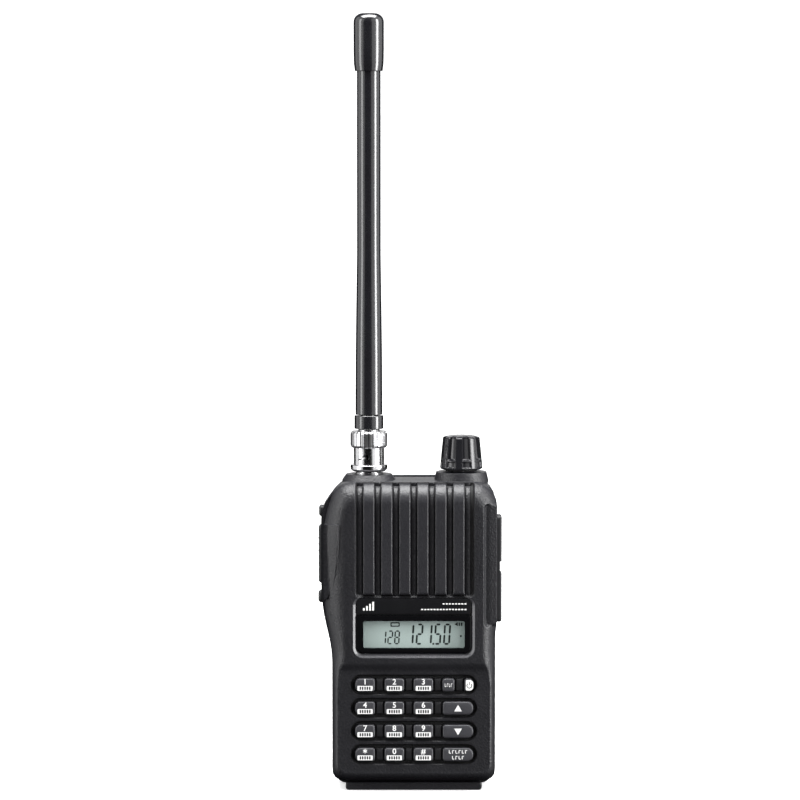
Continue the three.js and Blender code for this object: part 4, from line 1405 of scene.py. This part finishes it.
def build_barrel():
    radius, bore, foot, top = 5.42, 4.75, 115.4, 121.6
    stud_z = 118.2
    openings = []
    for side in (0, 1):
        locked = side * math.pi + 0.6
        seat_at = locked * radius
        openings.append(slot_outline((seat_at, stud_z), (seat_at + 0.01, stud_z), 2.5))
        start = ((locked - 0.25) * radius, stud_z - 0.35)
        end = ((locked - 1.4) * radius, stud_z - 2.1)
        openings.append(slot_outline(start, end, 0.55))
    turn = 2 * math.pi * radius
    columns = np.linspace(0, turn, 121)
    border = np.array([(0, foot)] + [(c, foot) for c in columns[1:]] + [(c, top) for c in columns[::-1]])
    lines = [np.array([(c, foot), (c, top)]) for c in columns[1:-1]]
    flat, triangles = triangulated([border, *openings], lines)
    centres = flat[triangles].mean(axis=1)
    kept = np.ones(len(triangles), bool)
    for opening in openings:
        kept &= ~inside_outline(centres, opening)
    triangles = triangles[kept]
    angles = flat[:, 0] / radius - 2.35

    def wrapped(r):
        turn = zip(np.cos(angles), np.sin(angles), flat[:, 1])
        return [(ANTENNA.x + r * c, ANTENNA.y + r * s, z) for c, s, z in turn]

    count = len(flat)
    faces = [tuple(t) for t in triangles] + [tuple(t[::-1] + count) for t in triangles]
    seen = {(a, b) for t in triangles for a, b in zip(t, np.roll(t, -1))}
    for a, b in seen:
        on_seam = abs(flat[a][0] - flat[b][0]) < 1e-4 and (flat[a][0] < 1e-4 or flat[a][0] > turn - 1e-4)
        if (b, a) not in seen and not on_seam:
            faces.append((b, a, a + count, b + count))
    mesh = Mesh()
    mesh.add(wrapped(radius) + wrapped(bore), faces)
    rim = [(4.75, 113.0), (5.75, 113.0), (5.95, 113.1), (6.5, 113.75), (6.62, 113.95), (6.62, 115.1)]
    rim += [(6.55, 115.3), (6.35, 115.42), (5.5, 115.45), (4.75, 115.45)]
    turned(mesh, ANTENNA, rim + rim[:1], closed_ends=(False, False))
    return mesh.finished("coupling_barrel", [chrome_finish], 40)


barrel = build_barrel()
knurl = build_knurl()
seat(barrel, "coupling_sleeve")
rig.ride(knurl, "coupling_sleeve")
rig.slot(knurl, "chrome")
print("barrel:", len(barrel.data.polygons), "faces, knurl:", len(knurl.data.polygons))


# %% The collar, the socket and the plug
def build_collar():
    low, high = box_mm("whip_collar")
    profile = [(0.7, low.z + 0.4), (0.7, 119), (2.1, 119), (2.1, 128.2), (4.9, 128.2)]
    profile += arc(4.9, 128.5, 0.28, 0.3, -80, 0, 5)
    profile += [(5.18, 132.6), (5.12, 132.85), (4.98, 132.98), (4.6, 133), (2.4, 133), (2.4, high.z)]
    mesh = Mesh()
    turned(mesh, ANTENNA, profile)
    return seat(mesh.finished("whip_ferrule", [whip_finish]), "whip_collar")


collar = build_collar()
print("collar:", len(collar.data.polygons), "faces")

# %% [markdown]
# ## The volume knob
# The knob is a slightly tapered cylinder with eight broad ribs and a low domed top. A rule gives its
# radius for each angle and height: a cone, less a pocket between the ribs, deep above the skirt and
# shallower on it. One bent grid makes the whole knob.

# %% The knob by a rule
KNOB_PHASE = math.radians(14.7 - 90)


def build_knob():
    low, high = box_mm("volume_knob")
    tree = new_geometry(
        "knob_rule", knob_finish, Foot=low.z, Top=high.z,
        Foot_Radius=high.x - KNOB.x - 0.02, Top_Radius=6.55,
        Ribs=8.0, Pocket=1.15, Step=low.z + 3.4, Dome=0.7, Axis_X=KNOB.x, Axis_Y=KNOB.y,
    )
    size = tree.sizes

    def knob(u, v):
        angle = u * (2 * math.pi)
        side = tree.clamp((v - 0.2) / 0.6)
        bottom_cap = 1 - tree.clamp(v / 0.2)
        top_cap = tree.clamp((v - 0.8) / 0.2)
        height = size["Top"] - size["Foot"] - size["Dome"]
        z = size["Foot"] + height * side
        cone = size["Foot_Radius"] + (size["Top_Radius"] - size["Foot_Radius"]) * side
        wave = tree.math("COSINE", (angle - KNOB_PHASE) * size["Ribs"])
        between = tree.clamp((wave + 0.25) * 2.6)
        above = tree.clamp((z - size["Step"]) / 0.5)
        skirt = tree.clamp((z - size["Foot"] - 0.7) / 0.3) * tree.clamp((size["Step"] - 0.5 - z) / 0.3)
        below_rim = tree.clamp((size["Top"] - size["Dome"] - z) / 0.35 + 0.55)
        pocket = size["Pocket"] * between * (above * below_rim + skirt * 0.45)
        chamfer = 0.45 * (1 - tree.clamp((z - size["Foot"]) / 0.5))
        edge = 0.35 * tree.clamp((z - size["Top"] + size["Dome"] + 0.45) / 0.45) ** 2
        wall = cone - pocket - chamfer - edge
        round_top = tree.math("MAXIMUM", 1 - top_cap * top_cap, 0.0) ** 0.5
        round_top = 1 - top_cap + (round_top - 1 + top_cap) * 0.15
        radius = wall * round_top * (1 - bottom_cap)
        rise = size["Dome"] * (1 - (1 - top_cap) * (1 - top_cap))
        x = size["Axis_X"] + radius * tree.math("COSINE", angle)
        y = size["Axis_Y"] + radius * tree.math("SINE", angle)
        return x, y, z + rise

    grid = bent_grid(tree, 8 * 30 + 1, 121, knob)
    return smoothed(grown(tree, "volume_knob_moulding", grid), 42)


knob = seat(build_knob(), "volume_knob")
print("knob:", len(knob.data.polygons), "faces")


# %% The seal under the knob
def build_seal():
    low, high = box_mm("knob_seal")
    bore = 3.8
    profile = [(bore, low.z), (5.6, low.z)] + arc(5.5, low.z + 0.9, 0.38, 0.9, -70, 70, 9)
    profile += [(5.3, high.z), (bore, high.z), (bore, low.z)]
    mesh = Mesh()
    turned(mesh, KNOB, profile, closed_ends=(False, False))
    return seat(mesh.finished("knob_neck_seal", [rubber_finish]), "knob_seal")


seal = build_seal()
print("seal:", len(seal.data.polygons), "faces")

# %% [markdown]
# ## The rear of the case and the loose parts
# The rear chassis, the battery, the clip and the buttons are prismatic mouldings, and their solids already
# have the right sizes. What they lack is the edge: no moulded or stamped part has a sharp one. So each
# finer piece starts from its solid, melts the triangles of a flat face into one face, and rolls every
# sharp edge with a bevel of its own radius.

# %% Rolled edges
def rolled(node, name, radius, finishes, bend_degrees=26, steps=3, merge_mm=0.002):
    """A copy of a node's solid with every sharp edge rolled to a radius in millimetres."""
    solid = frame["nodes"][node]
    data = solid.data.copy()
    data.transform(solid.matrix_world)
    data.materials.clear()
    for finish in finishes:
        data.materials.append(finish)
    shape = bmesh.new()
    shape.from_mesh(data)
    bmesh.ops.remove_doubles(shape, verts=shape.verts, dist=merge_mm * MM)
    bmesh.ops.dissolve_limit(shape, angle_limit=math.radians(1.0), verts=shape.verts, edges=shape.edges)
    bend = math.radians(bend_degrees)
    sharp = [e for e in shape.edges if len(e.link_faces) == 2 and e.calc_face_angle(0) > bend]
    bmesh.ops.bevel(
        shape, geom=sharp, offset=radius * MM, offset_type="OFFSET", segments=steps, profile=0.5,
        affect="EDGES", clamp_overlap=True,
    )
    bmesh.ops.triangulate(shape, faces=[f for f in shape.faces if len(f.verts) > 4])
    shape.to_mesh(data)
    shape.free()
    data.name = name
    data.shade_smooth()
    data.set_sharp_from_angle(angle=math.radians(38))
    piece = bpy.data.objects.new(name, data)
    bpy.context.scene.collection.objects.link(piece)
    flatten_shading(piece)
    return seat(piece, node)


ROLLED = {
    "rear_chassis": ("rear_chassis_moulding", 0.4, [case_finish]),
    "ptt_button": ("talk_button", 0.55, [rubber_finish]),
    "upper_side_button": ("upper_button", 0.45, [rubber_finish]),
    "lower_side_button": ("lower_button", 0.45, [rubber_finish]),
    "jack_cover": ("jack_cover_flap", 0.5, [rubber_finish]),
    "battery_case": ("battery_shell", 0.7, [case_finish]),
    "battery_lid": ("battery_front", 0.3, [case_finish]),
    "battery_latch": ("battery_release", 0.15, [rubber_finish]),
    "contact_block": ("battery_contacts", 0.1, [gold_finish]),
    "clip_plate": ("clip_base", 0.4, [case_finish]),
    "belt_clip": ("clip_spring_arm", 0.5, [case_finish]),
    "clip_screw_left": ("clip_screw_one", 0.2, [steel_finish]),
    "clip_screw_right": ("clip_screw_two", 0.2, [steel_finish]),
    "clip_pin": ("clip_axle", 0.2, [steel_finish]),
    "socket_nut": ("socket_hex_nut", 0.25, [steel_finish]),
    "bnc_socket": ("antenna_socket", 0.12, [chrome_finish]),
    "plug_shell": ("antenna_plug_shell", 0.1, [chrome_finish]),
    "pot_shaft": ("knob_shaft", 0.15, [steel_finish]),
    "jack_block": ("jack_housing", 0.2, [rubber_finish]),
}
for node, (name, radius, finishes) in ROLLED.items():
    made = rolled(node, name, radius, finishes)
    print(name, len(made.data.polygons), "faces")


# %% [markdown]
# The talk button has a row of finger ridges. One ridge is a bent grid with a round back, and Geometry
# Nodes repeats it up the outer face of the button.

# %% Finger ridges of the talk button
RIDGE_COUNT = 6
RIDGE_PITCH = 2.3


def build_ridges():
    low, high = box_mm("ptt_button")
    middle = (low + high) / 2
    tree = new_geometry(
        "finger_ridge_rule", rubber_finish, Pitch=RIDGE_PITCH, Length=5.6, Half=0.62, Rise=0.5,
        Face=low.x + 0.35, Middle_Y=middle.y, First_Z=middle.z - (RIDGE_COUNT - 1) / 2 * RIDGE_PITCH,
    )
    size = tree.sizes

    def ridge(u, v):
        over = u * math.pi
        along = (v - 0.5) * 2
        fade = tree.clamp(1 - tree.math("ABSOLUTE", along) ** 6.0) ** 0.5
        x = size["Face"] - size["Rise"] * tree.math("SINE", over) * fade
        y = size["Middle_Y"] + size["Length"] * 0.5 * along
        return x, y, -size["Half"] * tree.math("COSINE", over) * fade

    bar = bent_grid(tree, 15, 31, ridge)
    row = tree.node("GeometryNodeMeshLine", values={
        "Count": RIDGE_COUNT,
        "Start Location": tree.node("ShaderNodeCombineXYZ", values={"Z": size["First_Z"]}),
        "Offset": tree.node("ShaderNodeCombineXYZ", values={"Z": size["Pitch"]}),
    })
    ridges = tree.node("GeometryNodeInstanceOnPoints", values={"Points": row, "Instance": bar})
    return smoothed(grown(tree, "talk_button_ridges", ridges), 50)


ridges = build_ridges()
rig.ride(ridges, BODY_OF["ptt_button"])
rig.slot(ridges, "rubber")
print("ridges:", len(ridges.data.polygons), "faces")

# %% [markdown]
# ## The studio
# The radio stands on a plain pale sweep: a floor that curves up into a wall, so that there is no horizon.
# Two tall soft boxes at the sides draw the long bright lines on the antenna, and two broad panels light
# the flanks. A wide box from above lights the shoulders and the upper faces, and a weak one stands
# behind. The front gets only the soft light of the world, which keeps the dark case dark. Neither the
# world nor the floor shows in a reflection, and the floor glows a little, so that it stays pale.

# %% Floor
def build_floor():
    mesh = Mesh()
    profile = [(-3500.0, 0.0)]
    bend = np.linspace(0, math.pi / 2, 16)
    profile += [(1500 + 900 * math.sin(a), 900 - 900 * math.cos(a)) for a in bend]
    profile += [(2400.0, 4200.0)]
    for (y0, z0), (y1, z1) in zip(profile, profile[1:]):
        mesh.add([(-4500, y0, z0), (4500, y0, z0), (4500, y1, z1), (-4500, y1, z1)], [(0, 1, 2, 3)])
    return mesh.finished("studio_sweep", [sweep_finish], 60)


sweep_finish = grained(
    "studio_paper", (0.80, 0.80, 0.80), 0.9, 0.3, 0.02, speckle=0.05,
    Emission_Color=(1.0, 1.0, 1.0, 1.0), Emission_Strength=0.42,
)
floor = build_floor()
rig.stage(floor)
floor.visible_glossy = False
floor.visible_diffuse = False


# %% Lights
TARGET = Vector((-4.9, 0, 120))


def soft_box(name, place, size, power):
    data = bpy.data.lights.new(name, "AREA")
    data.shape = "RECTANGLE"
    data.size, data.size_y = (s * MM for s in size)
    data.energy = power
    light = bpy.data.objects.new(name, data)
    bpy.context.scene.collection.objects.link(light)
    light.location = Vector(place) * MM
    light.rotation_mode = "QUATERNION"
    light.rotation_quaternion = (TARGET - Vector(place)).to_track_quat("-Z", "Y")
    return light


soft_box("left_soft_box", (-900, -350, 300), (260, 1000), 3.6)
soft_box("right_soft_box", (900, -350, 300), (300, 1000), 14)
soft_box("left_panel", (-1140, -190, 300), (1900, 2000), 12)
soft_box("right_panel", (955, -310, 300), (2230, 2000), 15)
soft_box("top_soft_box", (0, -40, 1100), (1200, 560), 34)
soft_box("back_soft_box", (0, 1500, 500), (900, 600), 2)

world = bpy.data.worlds.new("studio_air")
bpy.context.scene.world = world
world.use_nodes = True
world.cycles_visibility.glossy = False
world.node_tree.nodes.clear()
air = Tree(world.node_tree)
direction = air.node("ShaderNodeTexCoord", output="Generated")
height = air.node("ShaderNodeSeparateXYZ", values={"Vector": direction}).other("Z")
glow = air.node("ShaderNodeBackground", values={"Strength": air.clamp(height * 0.9 + 0.85, 0.28, 1.6)})
air.node("ShaderNodeOutputWorld", values={"Surface": glow})
bpy.context.scene.view_settings.view_transform = "Standard"

# %% Camera
AIM = Vector((-4.9, -15.5, 140.0))
DISTANCE = 1610
RISE = 131.6

lens = bpy.data.cameras.new("camera")
lens.lens = 206.0
lens.sensor_width = 36
lens.clip_start = 0.05
lens.clip_end = 50
camera = bpy.data.objects.new("camera", lens)
bpy.context.scene.collection.objects.link(camera)
camera.location = (AIM + Vector((0, -DISTANCE, RISE))) * MM
camera.rotation_mode = "QUATERNION"
camera.rotation_quaternion = Vector((0, DISTANCE, -RISE)).to_track_quat("-Z", "Y")
bpy.context.scene.camera = camera

# %% Sizes and finish
visual_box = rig.bounds()
with open("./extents.json", "w") as report:
    json.dump({"cad": [list(p) for p in cad_box], "visual": [list(p) for p in visual_box]}, report)
for label, (low, high) in (("frame", cad_box), ("look", visual_box)):
    print(label, [round(c / MM, 2) for c in low], [round(c / MM, 2) for c in high])
